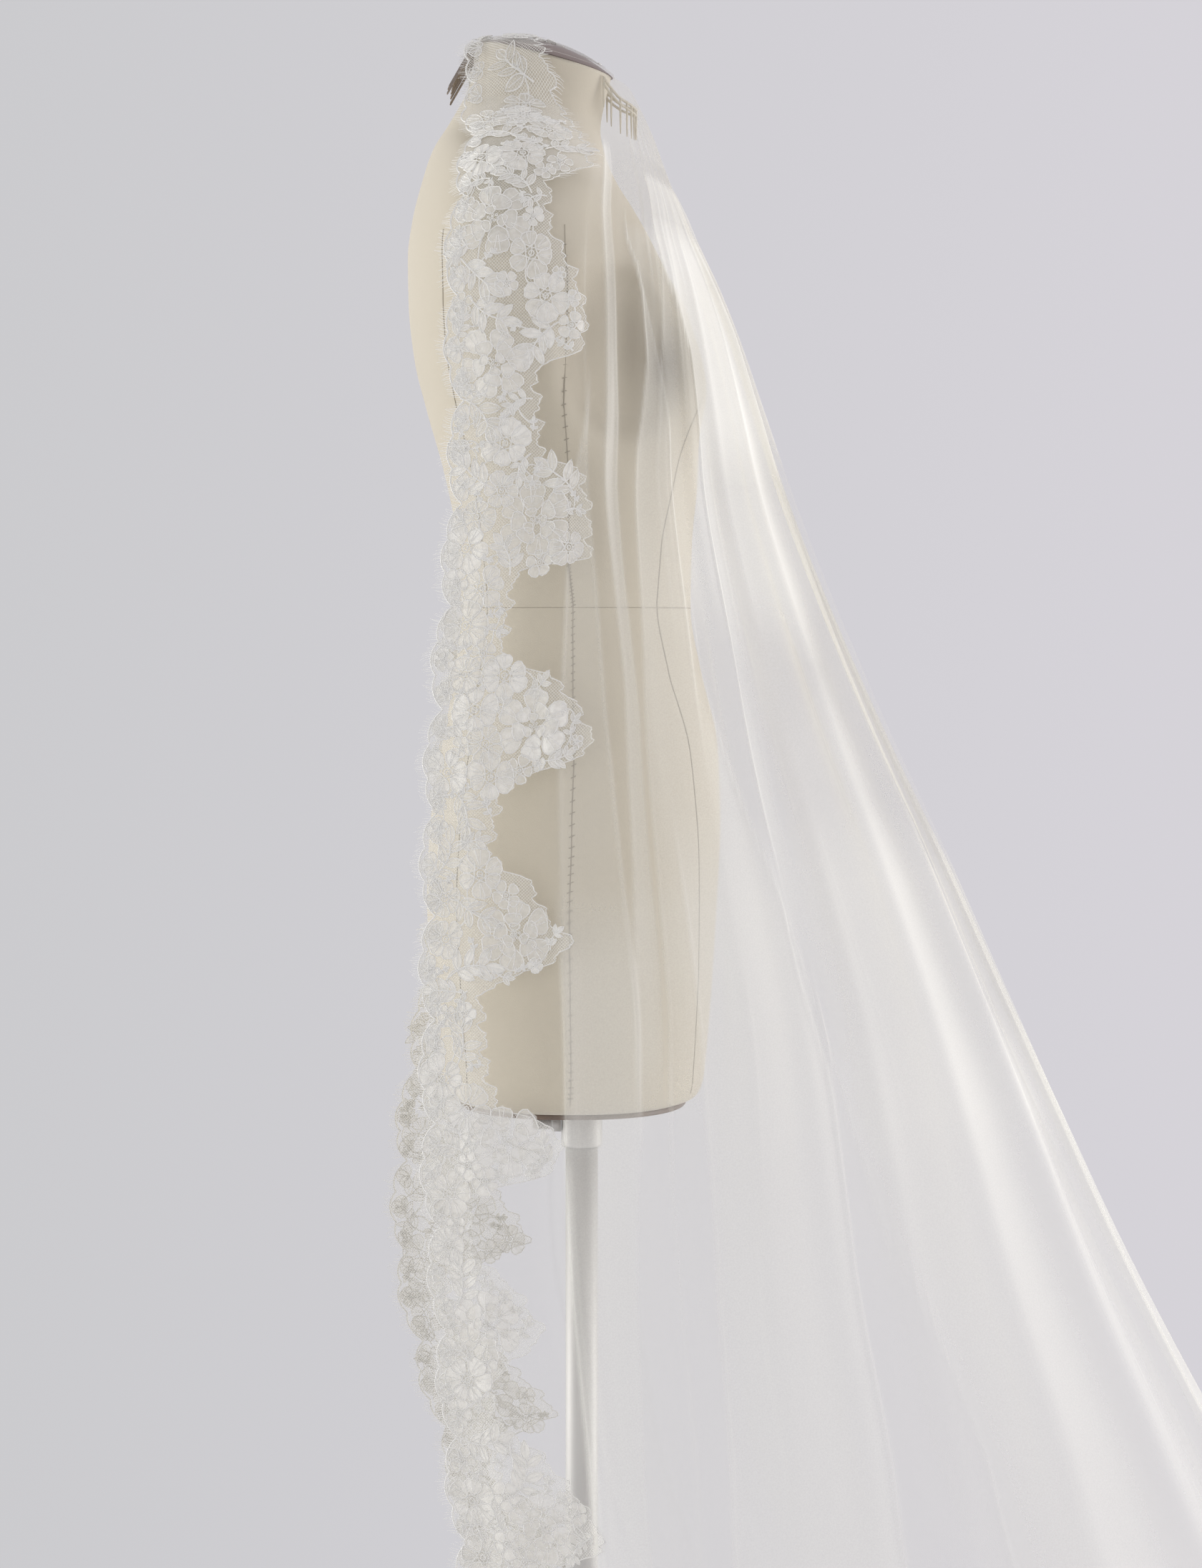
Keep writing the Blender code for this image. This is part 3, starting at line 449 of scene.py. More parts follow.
Fold = namedtuple("Fold", "levels places line step blur", defaults=(0.004,))
Billow = namedtuple("Billow", "levels places width height")
tulle = {
    "wall": 0.0006, "rows": 156, "start": 0.022, "sheer": {near: 0.45, far: 1.4}, "gatherWidth": 0.62,
    "columns": {near: 370, far: 120},
    # a fold's line is a ridge with more cloth on it, and past the line its step adds layers to the sheet
    "lineWidth": 0.0022, "lineRise": 0.0011, "stepGain": 1.25, "leastLayers": 0.3, "relax": 0.28,
    # a fold runs down the levels through its places
    near: [Fold(*f) for f in (
        ((9.0, 10.0, 11.2), (.192, .199, .212), 0.8, 0.0),
        ((11.2, 12.6, 14, 16, 18, 22), (.212, .197, .188, .182, .174, .170), 1.4, 1.1),
        ((11.2, 12.6, 14.2, 16, 16.6), (.215, .229, .240, .244, .243), 1.5, -0.9),
        ((15.8, 16.6, 17.6, 19, 22), (.178, .177, .174, .170, .169), 0.6, 2.4),
        ((16.0, 17, 19, 22), (.243, .242, .232, .226), 1.2, -1.9),
        ((6, 8.6, 9.9, 11.2, 12.6, 13.5, 15, 15.7, 16.4),
         (.200, .223, .233, .242, .257, .264, .255, .247, .244), 1.1, 2.1),
        ((6, 8.6, 9.9, 11.2, 12.6, 13.7, 15, 16.4),
         (.214, .236, .248, .261, .268, .277, .271, .264), 0.9, -2.2),
        ((8.4, 9.4, 10.4, 11.4, 13.2, 15, 16.6), (.269, .304, .314, .296, .291, .279, .270), 1.3, 1.8),
        ((16.6, 18, 22), (.270, .273, .272), 1.1, -0.3),
        ((6, 8.4, 9.4, 10.4, 11.2, 12.1, 13.4), (.246, .269, .306, .334, .354, .354, .350), 1.2, -1.1),
        ((9.0, 10.0, 10.6, 11.6, 12.6), (.370, .350, .338, .330, .334), 0.9, 0.2),
        ((6.5, 8.2, 9.2, 10.3, 11.6, 13.2, 14.5),
         (.330, .360, .388, .438, .434, .430, .420), 1.5, 2.1, 0.006),
        ((11.8, 13.2, 14.5), (.458, .450, .440), 0.3, -2.3, 0.008),
        ((15.2, 16.7, 17.5, 19, 22), (.304, .302, .304, .299, .302), 2.0, 1.8),
        ((16.4, 17.2, 18.4, 19.4, 22), (.350, .346, .336, .344, .352), 0.5, 0.2),
        ((13.4, 15.1, 16.2), (.366, .408, .434), 2.0, -1.7),
        ((16.2, 17.7, 18.3, 19, 22), (.434, .466, .496, .514, .540), 1.8, 0.0),
        ((15.8, 16.6, 18.1, 19.7, 22), (.414, .430, .426, .430, .436), 1.3, -2.6),
        ((16.0, 16.8, 17.7, 18.4, 19, 22), (.440, .452, .474, .506, .522, .550), 0.2, 2.0, 0.020),
        ((8.6, 10.2, 13.2, 15, 16.4), (.480, .505, .490, .498, .515), 0.1, 0.7, 0.030),
        ((9.5, 11.5, 13.4, 15.5, 18, 22), (.560, .590, .590, .566, .590, .600), 0.1, 0.7, 0.030),
        ((9.0, 11.5, 13.4, 15.5, 18, 22), (.640, .665, .670, .650, .664, .690), 0.0, -1.9, 0.030),
        ((10.0, 13.0, 16.0, 19.0, 22), (.745, .760, .750, .770, .790), 0.4, -1.0, 0.030),
        ((12.5, 15.8, 16.6, 18.8, 22), (.880, .790, .800, .850, .870), 0.7, 0.2),
        ((9, 11, 14, 22), (.925, .928, .935, .940), 0.5, 0.5))],
    far: [Fold(*f) for f in (
        ((8, 12, 16, 22), (.190, .200, .196, .200), 0.8, 0.5),
        ((8, 13, 17, 22), (.262, .275, .262, .268), 0.7, -0.4),
        ((9, 13, 17, 22), (.330, .344, .352, .340), 0.8, 0.6, 0.008),
        ((12, 15, 18, 22), (.402, .410, .420, .436), 0.6, -0.4),
        ((9, 13, 17, 22), (.480, .492, .500, .508), 0.6, 0.8, 0.015),
        ((10, 14, 18, 22), (.590, .600, .594, .606), 0.7, -0.8, 0.02),
        ((11, 14, 18, 22), (.700, .706, .716, .700), 0.5, 0.3),
        ((9, 13, 17, 22), (.830, .822, .836, .842), 0.6, -0.2),
        ((10, 13, 18, 22), (.930, .940, .934, .946), 0.4, 0.2))],
    # fine straight pleats fan out of the comb: their places at levels 3 and 9
    "pleats": ((.290, .330), (.350, .400), (.400, .455), (.452, .520), (.520, .600), (.600, .690),
               (.700, .790), (.820, .880)),
    "pleatWidth": 0.006, "pleatRise": 0.0008, "pleatLayers": 0.6,
    # broad soft swells between the folds
    "billows": {
        near: [Billow(*b) for b in (
            ((10, 14, 18, 22), (.580, .575, .590, .610), 0.080, 0.004),
            ((10, 16, 22), (.700, .720, .740), 0.040, 0.008),
            ((12, 16, 22), (.350, .360, .370), 0.030, 0.005),
            ((11, 16, 22), (.235, .228, .210), 0.016, 0.003),
            ((9, 15, 22), (.850, .860, .870), 0.030, 0.006))],
        far: [Billow(*b) for b in (
            ((10, 16, 22), (.330, .340, .350), 0.030, 0.006),
            ((10, 16, 22), (.560, .580, .580), 0.040, 0.010),
            ((10, 16, 22), (.780, .790, .800), 0.035, 0.008))],
    },
}


def within(v, levels, ease=0.7):
    # 1 between the first and last level of a fold, easing to 0 beyond them
    low, high = levels[0], levels[-1] if levels[-1] < 22 else 40
    return np.clip((v - low) / ease + 1, 0, 1) * np.clip((high - v) / ease + 1, 0, 1)


def bell(a, place, width):
    return np.exp(-(((a - place) / width) ** 2))


def foldsAt(side, v, a):
    # height of the folds over the sheet, and the layers of net that they add
    rise, thick = np.zeros(a.shape), np.zeros(a.shape)
    for n, f in enumerate(tulle[side]):
        place = np.interp(v, f.levels, f.places) + 0.0010 * np.sin(v * 1.3 + n * 1.7)
        here = within(v, f.levels)
        waver = 0.8 + 0.2 * np.sin(v * (0.5 + 0.07 * (n % 4)) + n * 2.1)
        ridge = bell(a, place, tulle["lineWidth"]) * here * waver
        past = 1 + np.exp(-np.clip((a - place) / f.blur * 2.2, -40, 40))
        thick += f.line * ridge + tulle["stepGain"] * f.step * here / past
        rise += tulle["lineRise"] * f.line * ridge
    for n, (high, low) in enumerate(tulle["pleats"]):
        place = np.interp(v, (3, 9), (high, low)) + (0.012 if side == far else 0)
        here = within(v, (2.5, 8.5 + 1.5 * math.sin(n * 1.9)), 2.0)
        ridge = bell(a, place, tulle["pleatWidth"]) * here
        thick += tulle["pleatLayers"] * ridge
        rise += tulle["pleatRise"] * ridge * np.clip((v - 5) / 3, 0, 1)
    for b in tulle["billows"][side]:
        swell = bell(a, np.interp(v, b.levels, b.places), b.width)
        rise += b.height * swell * within(v, b.levels, 3.0) * np.clip(v / 12, 0, 1)
    return rise * np.clip((v - 2) / 5, 0, 1), thick


def tulleSheet(side, v, a):
    # the frame's ridges, kept under the lace and relaxed away from it, with the small folds on top
    under = np.interp(a, (0.17, 0.21), (1.0, 0.0))
    away = tulle["relax"] * np.clip((v - 3) / 6, 0, 1)
    relaxed = levelAt(v).fold * ridgeHeight(side, a) * (under + (1 - under) * away)
    height = tulle["wall"] + relaxed + foldsAt(side, v, a)[0]
    return smoothSurface(side, v, a) + normalsOf(smoothSurface, side, v, a) * height[..., None]


def lengthAlong(line):
    # distance run along each row of points, from 0 at its first one
    steps = np.linalg.norm(np.diff(line, axis=1), axis=2)
    return np.concatenate([np.zeros((len(line), 1)), np.cumsum(steps, 1)], 1)


def placesAcross(side, v, distances):
    # places on each level at distances along the cloth from its front edge
    a = np.linspace(0, 0.75, 260)
    line = veilSurface(side, v[:, None], a[None, :])
    return np.array([np.interp(d, run, a) for d, run in zip(distances, lengthAlong(line))])


def tulleHalf(side):
    rows = tulle["rows"]
    v = np.interp(np.linspace(0, 1, rows), (0, 0.26, 0.82, 1), (0, 6, 23, 27.15))
    start = placesAcross(side, v, np.full((rows, 1), tulle["start"]))
    share = np.interp(np.linspace(0, 1, tulle["columns"][side]), (0, 0.82, 1), (0, 0.62, 1))
    a = start + (1 - start) * share
    v = np.broadcast_to(v[:, None], a.shape)
    points = tulleSheet(side, v, a)
    girth = np.linalg.norm(np.diff(points, axis=1), axis=2).sum(1)[:, None]
    gather = np.clip(tulle["gatherWidth"] / girth, 0.85, 1.5)
    cloth = np.maximum(tulle["sheer"][side] + foldsAt(side, v, a)[1], tulle["leastLayers"])
    return points, gather * cloth * np.interp(v, (0, 3, 9), (0.45, 0.8, 1.0))


(nearPoints, nearLayers), (farPoints, farLayers) = tulleHalf(near), tulleHalf(far)
points = np.concatenate([nearPoints, farPoints[:, -2::-1]], 1)
points[0, :, 1] = 0.0
veil = addMesh("veil_tulle_sheet", points.reshape(-1, 3), gridFaces(*points.shape[:2]), "tulle",
               attributes={"layers": np.concatenate([nearLayers, farLayers[:, -2::-1]], 1)})


def sheetArea(obj):
    return sum(p.area for p in obj.data.polygons)


print("tulle", len(veil.data.polygons) * 2, "triangles,", round(sheetArea(veil), 2), "square metres")


# Lace: fields that turn distances across and along an edging into points on the cloth

class Field:
    def __init__(self, points, normals):
        self.points, self.normals = points, normals
        self.run = lengthAlong(points[None, :, 0])[0]

    def at(self, across, run, lift):
        across, run, lift = np.broadcast_arrays(np.asarray(across, float), run, lift)
        r = np.interp(run, self.run, np.arange(len(self.run)))
        r0 = np.clip(np.floor(r).astype(int), 0, len(self.run) - 2)
        c = across / lace["step"]
        c0 = np.clip(np.floor(c).astype(int), 0, self.points.shape[1] - 2)
        fr, fc = (r - r0)[..., None], (c - c0)[..., None]      # off either side of the grid it runs straight on

        def blend(grid):
            top = grid[r0, c0] * (1 - fc) + grid[r0, c0 + 1] * fc
            low = grid[r0 + 1, c0] * (1 - fc) + grid[r0 + 1, c0 + 1] * fc
            return top * (1 - fr) + low * fr
        n = blend(self.normals)
        n /= np.linalg.norm(n, axis=-1, keepdims=True)
        return blend(self.points) + n * lift[..., None]


lace = {
    "step": 0.004, "reach": 0.140, "net": 0.0008, "cloth": 0.0014, "repeat": 0.152,
    "scallop": 0.077, "scallopDepth": 0.012, "small": 0.0257, "smallDepth": 0.0045,
    # inner outline of one repeat: share of the repeat and width, slowly out to a lobe and quickly back
    "lobe": ((0.0, 0.048), (0.28, 0.046), (0.36, 0.074), (0.56, 0.088), (0.74, 0.108), (0.84, 0.112),
             (0.93, 0.076), (1.0, 0.048)),
    # inner outline of the near edging: height over the floor and width
    "nearOutline": (
        (1.490, 0.052), (1.460, 0.066), (1.420, 0.088), (1.390, 0.106), (1.373, 0.110), (1.360, 0.080),
        (1.326, 0.082), (1.297, 0.100), (1.260, 0.114), (1.237, 0.110), (1.226, 0.086), (1.220, 0.070),
        (1.155, 0.074), (1.147, 0.105), (1.120, 0.114), (1.080, 0.118), (1.073, 0.075), (1.068, 0.060),
        (1.003, 0.057), (0.994, 0.094), (0.970, 0.120), (0.941, 0.135), (0.929, 0.115), (0.911, 0.064),
        (0.852, 0.056), (0.844, 0.084), (0.812, 0.102), (0.794, 0.124), (0.782, 0.108), (0.758, 0.051),
        (0.694, 0.056), (0.671, 0.066), (0.659, 0.106), (0.640, 0.114), (0.620, 0.094), (0.610, 0.042),
        (0.566, 0.036), (0.539, 0.070), (0.507, 0.090), (0.470, 0.044), (0.440, 0.048), (0.420, 0.078),
        (0.370, 0.118), (0.352, 0.126), (0.330, 0.050), (0.272, 0.046), (0.255, 0.080), (0.205, 0.110),
        (0.186, 0.106), (0.168, 0.052), (0.104, 0.048), (0.088, 0.080), (0.040, 0.108), (0.018, 0.106),
        (0.004, 0.060)),
    "nearRoses": (1.328, 1.225, 1.108, 0.955, 0.800, 0.648, 0.512, 0.366, 0.205, 0.052),
    # windows of bare net in the near edging: height, distance from the edge, half height and half width
    "windows": ((1.300, 0.048, 0.018, 0.008), (1.270, 0.060, 0.016, 0.008), (1.105, 0.040, 0.018, 0.007),
                (1.052, 0.046, 0.014, 0.006), (0.925, 0.040, 0.015, 0.007), (0.830, 0.037, 0.022, 0.007),
                (0.690, 0.040, 0.014, 0.007), (0.560, 0.026, 0.012, 0.005), (0.405, 0.040, 0.014, 0.007)),
    # bare net that shows between the motifs, near the inner outline
    "border": 0.0045,
    # where the repeats start on the far side and round the hem
    "farStart": 0.035, "hemStart": 0.02,
    # radius of a rose, how far its middle lies from the inner outline, and at least from the outer line
    "rose": 0.0255, "roseInset": 0.044, "roseLeast": 0.040,
    # smaller motifs: radius, and tries for each 150 mm of edging
    "sizes": ((0.0165, 60), (0.0130, 150), (0.0100, 220), (0.0075, 260), (0.0055, 220), (0.0040, 160)),
    "crownSizes": ((0.0165, 60), (0.0130, 70), (0.0100, 60)),
    "hemSizes": ((0.0170, 70), (0.0130, 120), (0.0095, 150), (0.0070, 100)),
}


def sideField(side):
    v = np.concatenate([np.linspace(0, 6, 90)[:-1], np.linspace(6, last, 260)])
    distances = np.arange(0, lace["reach"] + 1e-9, lace["step"])
    a = placesAcross(side, v, np.broadcast_to(distances, (len(v), len(distances))))
    v2 = np.broadcast_to(v[:, None], a.shape)
    points, normals = veilSurface(side, v2, a), normalsOf(veilSurface, side, v2, a)
    return Field(points, normals), v


def hemField():
    # along the hem from the near front edge round the train to the far one, and in from the outer line
    grids = []
    steps = np.arange(0, lace["reach"] + 1e-9, lace["step"])
    for side in (near, far):
        start = placesAcross(side, np.array([27.5]), np.array([[0.10]]))[0, 0]
        a = np.linspace(start, 1, 260)[:, None]
        v = np.linspace(last, 26.6, 60)[None, :]
        line = veilSurface(side, *np.broadcast_arrays(v, a))
        place = np.array([np.interp(steps, run, v[0]) for run in lengthAlong(line)])
        a2 = np.broadcast_to(a, place.shape)
        pair = [veilSurface(side, place, a2), normalsOf(veilSurface, side, place, a2)]
        grids.append(pair if side == near else [g[-2::-1] for g in pair])
    return Field(*(np.concatenate([grids[0][k], grids[1][k]]) for k in (0, 1)))


def outerEdge(run):
    big = lace["scallopDepth"] * (1 - abs(np.sin(math.pi * run / lace["scallop"])) ** 0.8)
    small = lace["smallDepth"] * (1 - abs(np.sin(math.pi * run / lace["small"])) ** 0.7)
    return big * 0.85 + small


def ragged(run):
    return 0.0028 * np.sin(run * 330) + 0.0018 * np.sin(run * 610 + 1) + 0.0010 * np.sin(run * 1270)


def repeatedEdge(run, start):
    shares, widths = np.array(lace["lobe"]).T
    place = (run - start) / lace["repeat"]
    number = np.floor(place)
    return np.interp(place - number, shares, widths) * (1 + 0.06 * np.sin(number * 2.3)) + ragged(run)


class Pile:
    # gathers patches of points and faces into one mesh, with how closely each is woven
    def __init__(self):
        self.points, self.faces, self.cover, self.count = [], [], [], 0

    def add(self, points, faces, cover=1.0):
        points = points.reshape(-1, 3)
        self.points.append(points)
        self.faces.append(faces + self.count)
        self.cover.append(np.full(len(points), cover))
        self.count += len(points)

    def build(self, name, finish):
        cover = {"cover": np.concatenate(self.cover)} if finish == "lace" else None
        points, faces = np.concatenate(self.points), np.concatenate(self.faces)
        return addMesh(name, points, faces, finish, attributes=cover)


petalFaces = gridFaces(6, 5)
petalS, petalT = np.meshgrid(np.linspace(0, 1, 6), np.linspace(-1, 1, 5), indexing="ij")
ribS = np.concatenate([np.linspace(0, 1, 7), np.linspace(1, 0, 7)[1:]])
ribSide = np.concatenate([np.ones(6), np.zeros(1), -np.ones(6)])


def outline(kind, s):
    # half width of a petal or leaf at share s of its length
    if kind == "leaf":
        return np.sin(math.pi * s) ** 0.75 * (1 - 0.25 * s)
    return np.sin(math.pi * np.clip(s, 0, 1) ** 1.3) ** 0.5


def cordAlong(piles, field, across, run, lift, width):
    # a raised thread along a path: low sides and a high middle
    path = np.stack([across, run], 1)
    ahead = np.gradient(path, axis=0)
    ahead /= np.maximum(np.linalg.norm(ahead, axis=1, keepdims=True), 1e-9)
    off = np.stack([-ahead[:, 1], ahead[:, 0]], 1) * width / 2
    rows = []
    for sign, high in ((-1, 0.0), (0, 0.6), (1, 0.0)):
        x, y = (path + off * sign).T
        rows.append(field.at(x, y, lift + high * width))
    piles["cord"].add(np.stack(rows, 1), gridFaces(len(path), 3))


def petal(piles, field, across, run, angle, length, width, lift, kind="petal", veins=0, cover=0.9):
    # angle 0 points away from the outer edge, and a quarter turn points down the edging
    c, s = math.cos(angle), math.sin(angle)
    bend = rng.uniform(-0.2, 0.2) / max(length, 0.004) * 0.5
    notch = 0.10 * length * (kind == "petal")

    def spot(u, w):
        w = w + bend * u**2
        return across + c * u - s * w, run + s * u + c * w

    half = width / 2 * outline(kind, petalS)
    u = length * petalS - notch * (1 - abs(petalT)) * petalS**3
    dome = 0.04 * width * (1 - petalT**2) * outline(kind, petalS)
    crumple = 0.012 * width * np.sin(petalS * 7 + across * 900) * np.cos(petalT * 3 + run * 700)
    piles["cloth"].add(field.at(*spot(u, half * petalT), lift + dome + crumple), petalFaces, cover)
    u = length * ribS - notch * (1 - abs(ribSide)) * ribS**3
    cordAlong(piles, field, *spot(u, width / 2 * outline(kind, ribS) * ribSide), lift + 0.0002, 0.0009)
    for n in range(veins):                 # veins run out from the root like a fan
        t = np.linspace(0.15, 0.82, 4)
        fan = (n - (veins - 1) / 2) * 0.30
        cordAlong(piles, field, *spot(length * t, fan * width * t), lift + 0.04 * width, 0.0006)


def blossom(piles, field, across, run, radius, lift, cover):
    count = 5 if radius < 0.013 else 6
    start = rng.uniform(0, math.tau)
    core = 0.24 * radius
    for n in range(count):
        angle = start + math.tau * n / count + rng.uniform(-0.15, 0.15)
        reach = radius * rng.uniform(0.85, 1.12) - core
        petal(piles, field, across + math.cos(angle) * core, run + math.sin(angle) * core, angle, reach,
              reach * rng.uniform(0.85, 1.1), lift + 0.0001 * n, "petal", 2 if radius > 0.0115 else 0,
              cover * rng.uniform(0.85, 1.05))
    for size, lift2 in ((core, 0.0005), (core * 0.45, 0.0007)):
        ring = np.linspace(0, math.tau, 8)
        cordAlong(piles, field, across + size * np.cos(ring), run + size * np.sin(ring), lift + lift2, 0.0009)


def rose(piles, field, across, run, radius, lift, cover):
    # petals overlap from the outside in round an open, dotted heart
    rings = ((6, 0.40, 0.66, 1.05, 2), (5, 0.24, 0.46, 1.15, 0), (3, 0.12, 0.28, 1.2, 0))
    for ring, (count, inner, reach, broad, veins) in enumerate(rings):
        start = rng.uniform(0, math.tau)
        for n in range(count):
            angle = start + math.tau * n / count + rng.uniform(-0.12, 0.12)
            length = radius * reach * rng.uniform(0.88, 1.1)
            root = inner * radius
            petal(piles, field, across + math.cos(angle) * root, run + math.sin(angle) * root, angle + 0.3,
                  length, length * broad, lift + 0.0004 * ring + 0.00006 * n, "petal", veins,
                  cover * rng.uniform(0.75, 1.05))
    for n in range(9):
        angle, away = n * 2.4, radius * 0.055 * math.sqrt(n)
        knot = np.linspace(0, math.tau, 6)
        cordAlong(piles, field, across + math.cos(angle) * away + 0.0009 * np.cos(knot),
                  run + math.sin(angle) * away + 0.0009 * np.sin(knot), lift + 0.0017, 0.0008)


def spray(piles, field, across, run, radius, lift, cover):
    # a bent stem with pairs of veined leaves and one at its end
    heading = rng.uniform(0, math.tau)
    bow = rng.uniform(-0.5, 0.5)
    t = np.linspace(-1, 0.45, 9)
    x = across + radius * (math.cos(heading) * t - math.sin(heading) * bow * (t**2 - 0.4))
    y = run + radius * (math.sin(heading) * t + math.cos(heading) * bow * (t**2 - 0.4))
    cordAlong(piles, field, x, y, lift + 0.0003, 0.0012)
    pairs = 3 if radius > 0.010 else 2
    for n in range(pairs):
        k = int(2 + n * 5 / max(pairs - 1, 1))
        along = math.atan2(y[k] - y[k - 1], x[k] - x[k - 1])
        for way in (-1, 1):
            size = radius * rng.uniform(0.62, 0.84)
            petal(piles, field, x[k], y[k], along + way * rng.uniform(0.7, 1.05), size,
                  size * rng.uniform(0.42, 0.55), lift + 0.0001 * n, "leaf", 1,
                  cover * rng.uniform(0.85, 1.05))
    along = math.atan2(y[-1] - y[-2], x[-1] - x[-2])
    petal(piles, field, x[-1], y[-1], along, radius * 0.75, radius * 0.4, lift + 0.0003, "leaf", 1, cover)


def tendril(piles, field, start, end, lift):
    t = np.linspace(0, 1, 7)
    dx, dy = end[0] - start[0], end[1] - start[1]
    bow = rng.uniform(-0.35, 0.35) * np.sin(math.pi * t)
    cordAlong(piles, field, start[0] + dx * t - dy * bow, start[1] + dy * t + dx * bow, lift, 0.0011)


def spread(low, high, inner, firsts, bare, sizes):
    # motif centres: the roses first, then smaller ones wherever they still fit
    placed = list(firsts)
    for radius, tries in sizes:
        for _ in range(int(tries * (high - low) / 0.15)):
            run = rng.uniform(low + radius * 0.5, high - radius * 0.5)
            edge, back = float(outerEdge(run)), float(inner(run)) - lace["border"]
            if back - edge < 2.0 * radius + 0.002:
                continue
            across = rng.uniform(edge + radius + 0.001, back - radius)
            if bare and bare(across, run):
                continue
            if all((across - p[0]) ** 2 + (run - p[1]) ** 2 > (0.84 * (radius + p[2])) ** 2 for p in placed):
                placed.append((across, run, radius))
    return placed


def lashes(piles, field, line, edge, way):
    y = line + rng.uniform(-0.0003, 0.0003, len(line))
    length = (0.0052 + 0.0022 * np.sin(y * 260) ** 2) * rng.uniform(0.7, 1.15, len(y))
    lean = 0.35 * np.sin(y * 90) + rng.uniform(-0.2, 0.2, len(y))
    t = np.linspace(0, 1, 3)
    across = edge(y)[:, None] + way * length[:, None] * t
    run = y[:, None] + (lean * length)[:, None] * t**1.5
    thin, lift = 0.00024 * (1 - 0.5 * t), 0.0010 + 0.0008 * t
    strips = np.stack([field.at(across, run - thin, lift), field.at(across, run + thin, lift)], 2)
    faces = np.array([[k * 2, k * 2 + 2, k * 2 + 3, k * 2 + 1] for k in range(2)])
    for strip in strips:
        piles["cord"].add(strip, faces)


def dress(name, field, low, high, inner, roses, bare, sizes, fringe, woven=1.0, netColumns=14):
    # one edging: its net ground, its flowers and its cords with the lashes along the edge
    rows = max(20, int((high - low) / 0.0030))
    run = np.linspace(low, high, rows)[:, None]
    edge, back = outerEdge(run), inner(run)
    across = edge + (back - edge) * np.linspace(0, 1, netColumns)
    run2 = np.broadcast_to(run, across.shape)
    ground = field.at(across, run2, lace["net"]).reshape(-1, 3)
    net = addMesh(name + "_net", ground, gridFaces(rows, netColumns), "net",
                  attributes={"across": across, "run": run2})
    piles = {"cloth": Pile(), "cord": Pile()}
    lift = lace["cloth"]
    centres = spread(low, high, inner, roses, bare, sizes)
    for n, (x, y, radius) in enumerate(centres):
        cover = woven * rng.choice([0.56, 0.72, 0.86, 0.98])
        if radius > 0.022:
            rose(piles, field, x, y, radius * 1.05, lift, cover)
        elif n % 5 in (0, 3) or radius < 0.0045:
            spray(piles, field, x, y, radius * 1.25, lift, cover)
        else:
            blossom(piles, field, x, y, radius * 1.15, lift, cover)
    placed = np.array(centres)
    for n, (x, y, radius) in enumerate(centres[1:], 1):
        away = np.hypot(placed[:n, 0] - x, placed[:n, 1] - y)
        best = int(away.argmin())
        if away[best] < 0.045:
            tendril(piles, field, (x, y), tuple(placed[best, :2]), lift - 0.0003)
    line = np.arange(low, high, 0.0016)
    cordAlong(piles, field, outerEdge(line) + 0.0008, line, lift - 0.0002, 0.0014)
    cordAlong(piles, field, inner(line) - 0.0006, line, lift - 0.0004, 0.0008)
    for n in np.arange(math.ceil(low / lace["small"]), math.floor(high / lace["small"])) + 0.5:
        y = float(n * lace["small"])           # a fan of three petals fills each small scallop
        edge = float(outerEdge(y))
        for angle, size in ((math.pi, 1.0), (math.pi - 0.95, 0.9), (math.pi + 0.95, 0.9)):
            petal(piles, field, edge + 0.0135, y, angle, 0.0125 * size, 0.0100, lift, "petal", 2,
                  0.75 * woven)
    lashes(piles, field, line, outerEdge, -1)
    if fringe:
        lashes(piles, field, line[(line > fringe[0]) & (line < fringe[1])], inner, 1)
    flowers = piles["cloth"].build(name + "_flowers", "lace")
    cords = piles["cord"].build(name + "_cords", "cord")
    print(name, [2 * len(o.data.polygons) for o in (net, flowers, cords)], "triangles")
    return net, flowers, cords


def runAt(field, v, z):
    # how far along a side's edging a height over the floor lies
    heights = levelAt(v).frontZ
    down = heights > 0.001
    return np.interp(-np.asarray(z), -heights[down], field.run[down])


def nearEdge(field, v):
    # inner outline of the near edging: listed down to the floor, and repeated from there
    heights, widths = np.array(lace["nearOutline"]).T
    places, floorRun = runAt(field, v, heights), float(runAt(field, v, 0.004))

    def inner(run):
        byHand = np.interp(run, places, widths) + ragged(run)
        return np.where(np.asarray(run) < floorRun, byHand, repeatedEdge(run, floorRun))
    return inner, floorRun


def bareNet(windows):
    # tells whether a place is kept free of motifs: a patch on the crown and the windows
    def bare(across, run):
        onCrown = run < 0.105 and 0.010 < across < 0.040
        return onCrown or any(((across - x) / wide) ** 2 + ((run - y) / tall) ** 2 < 1
                              for y, x, tall, wide in windows)
    return bare


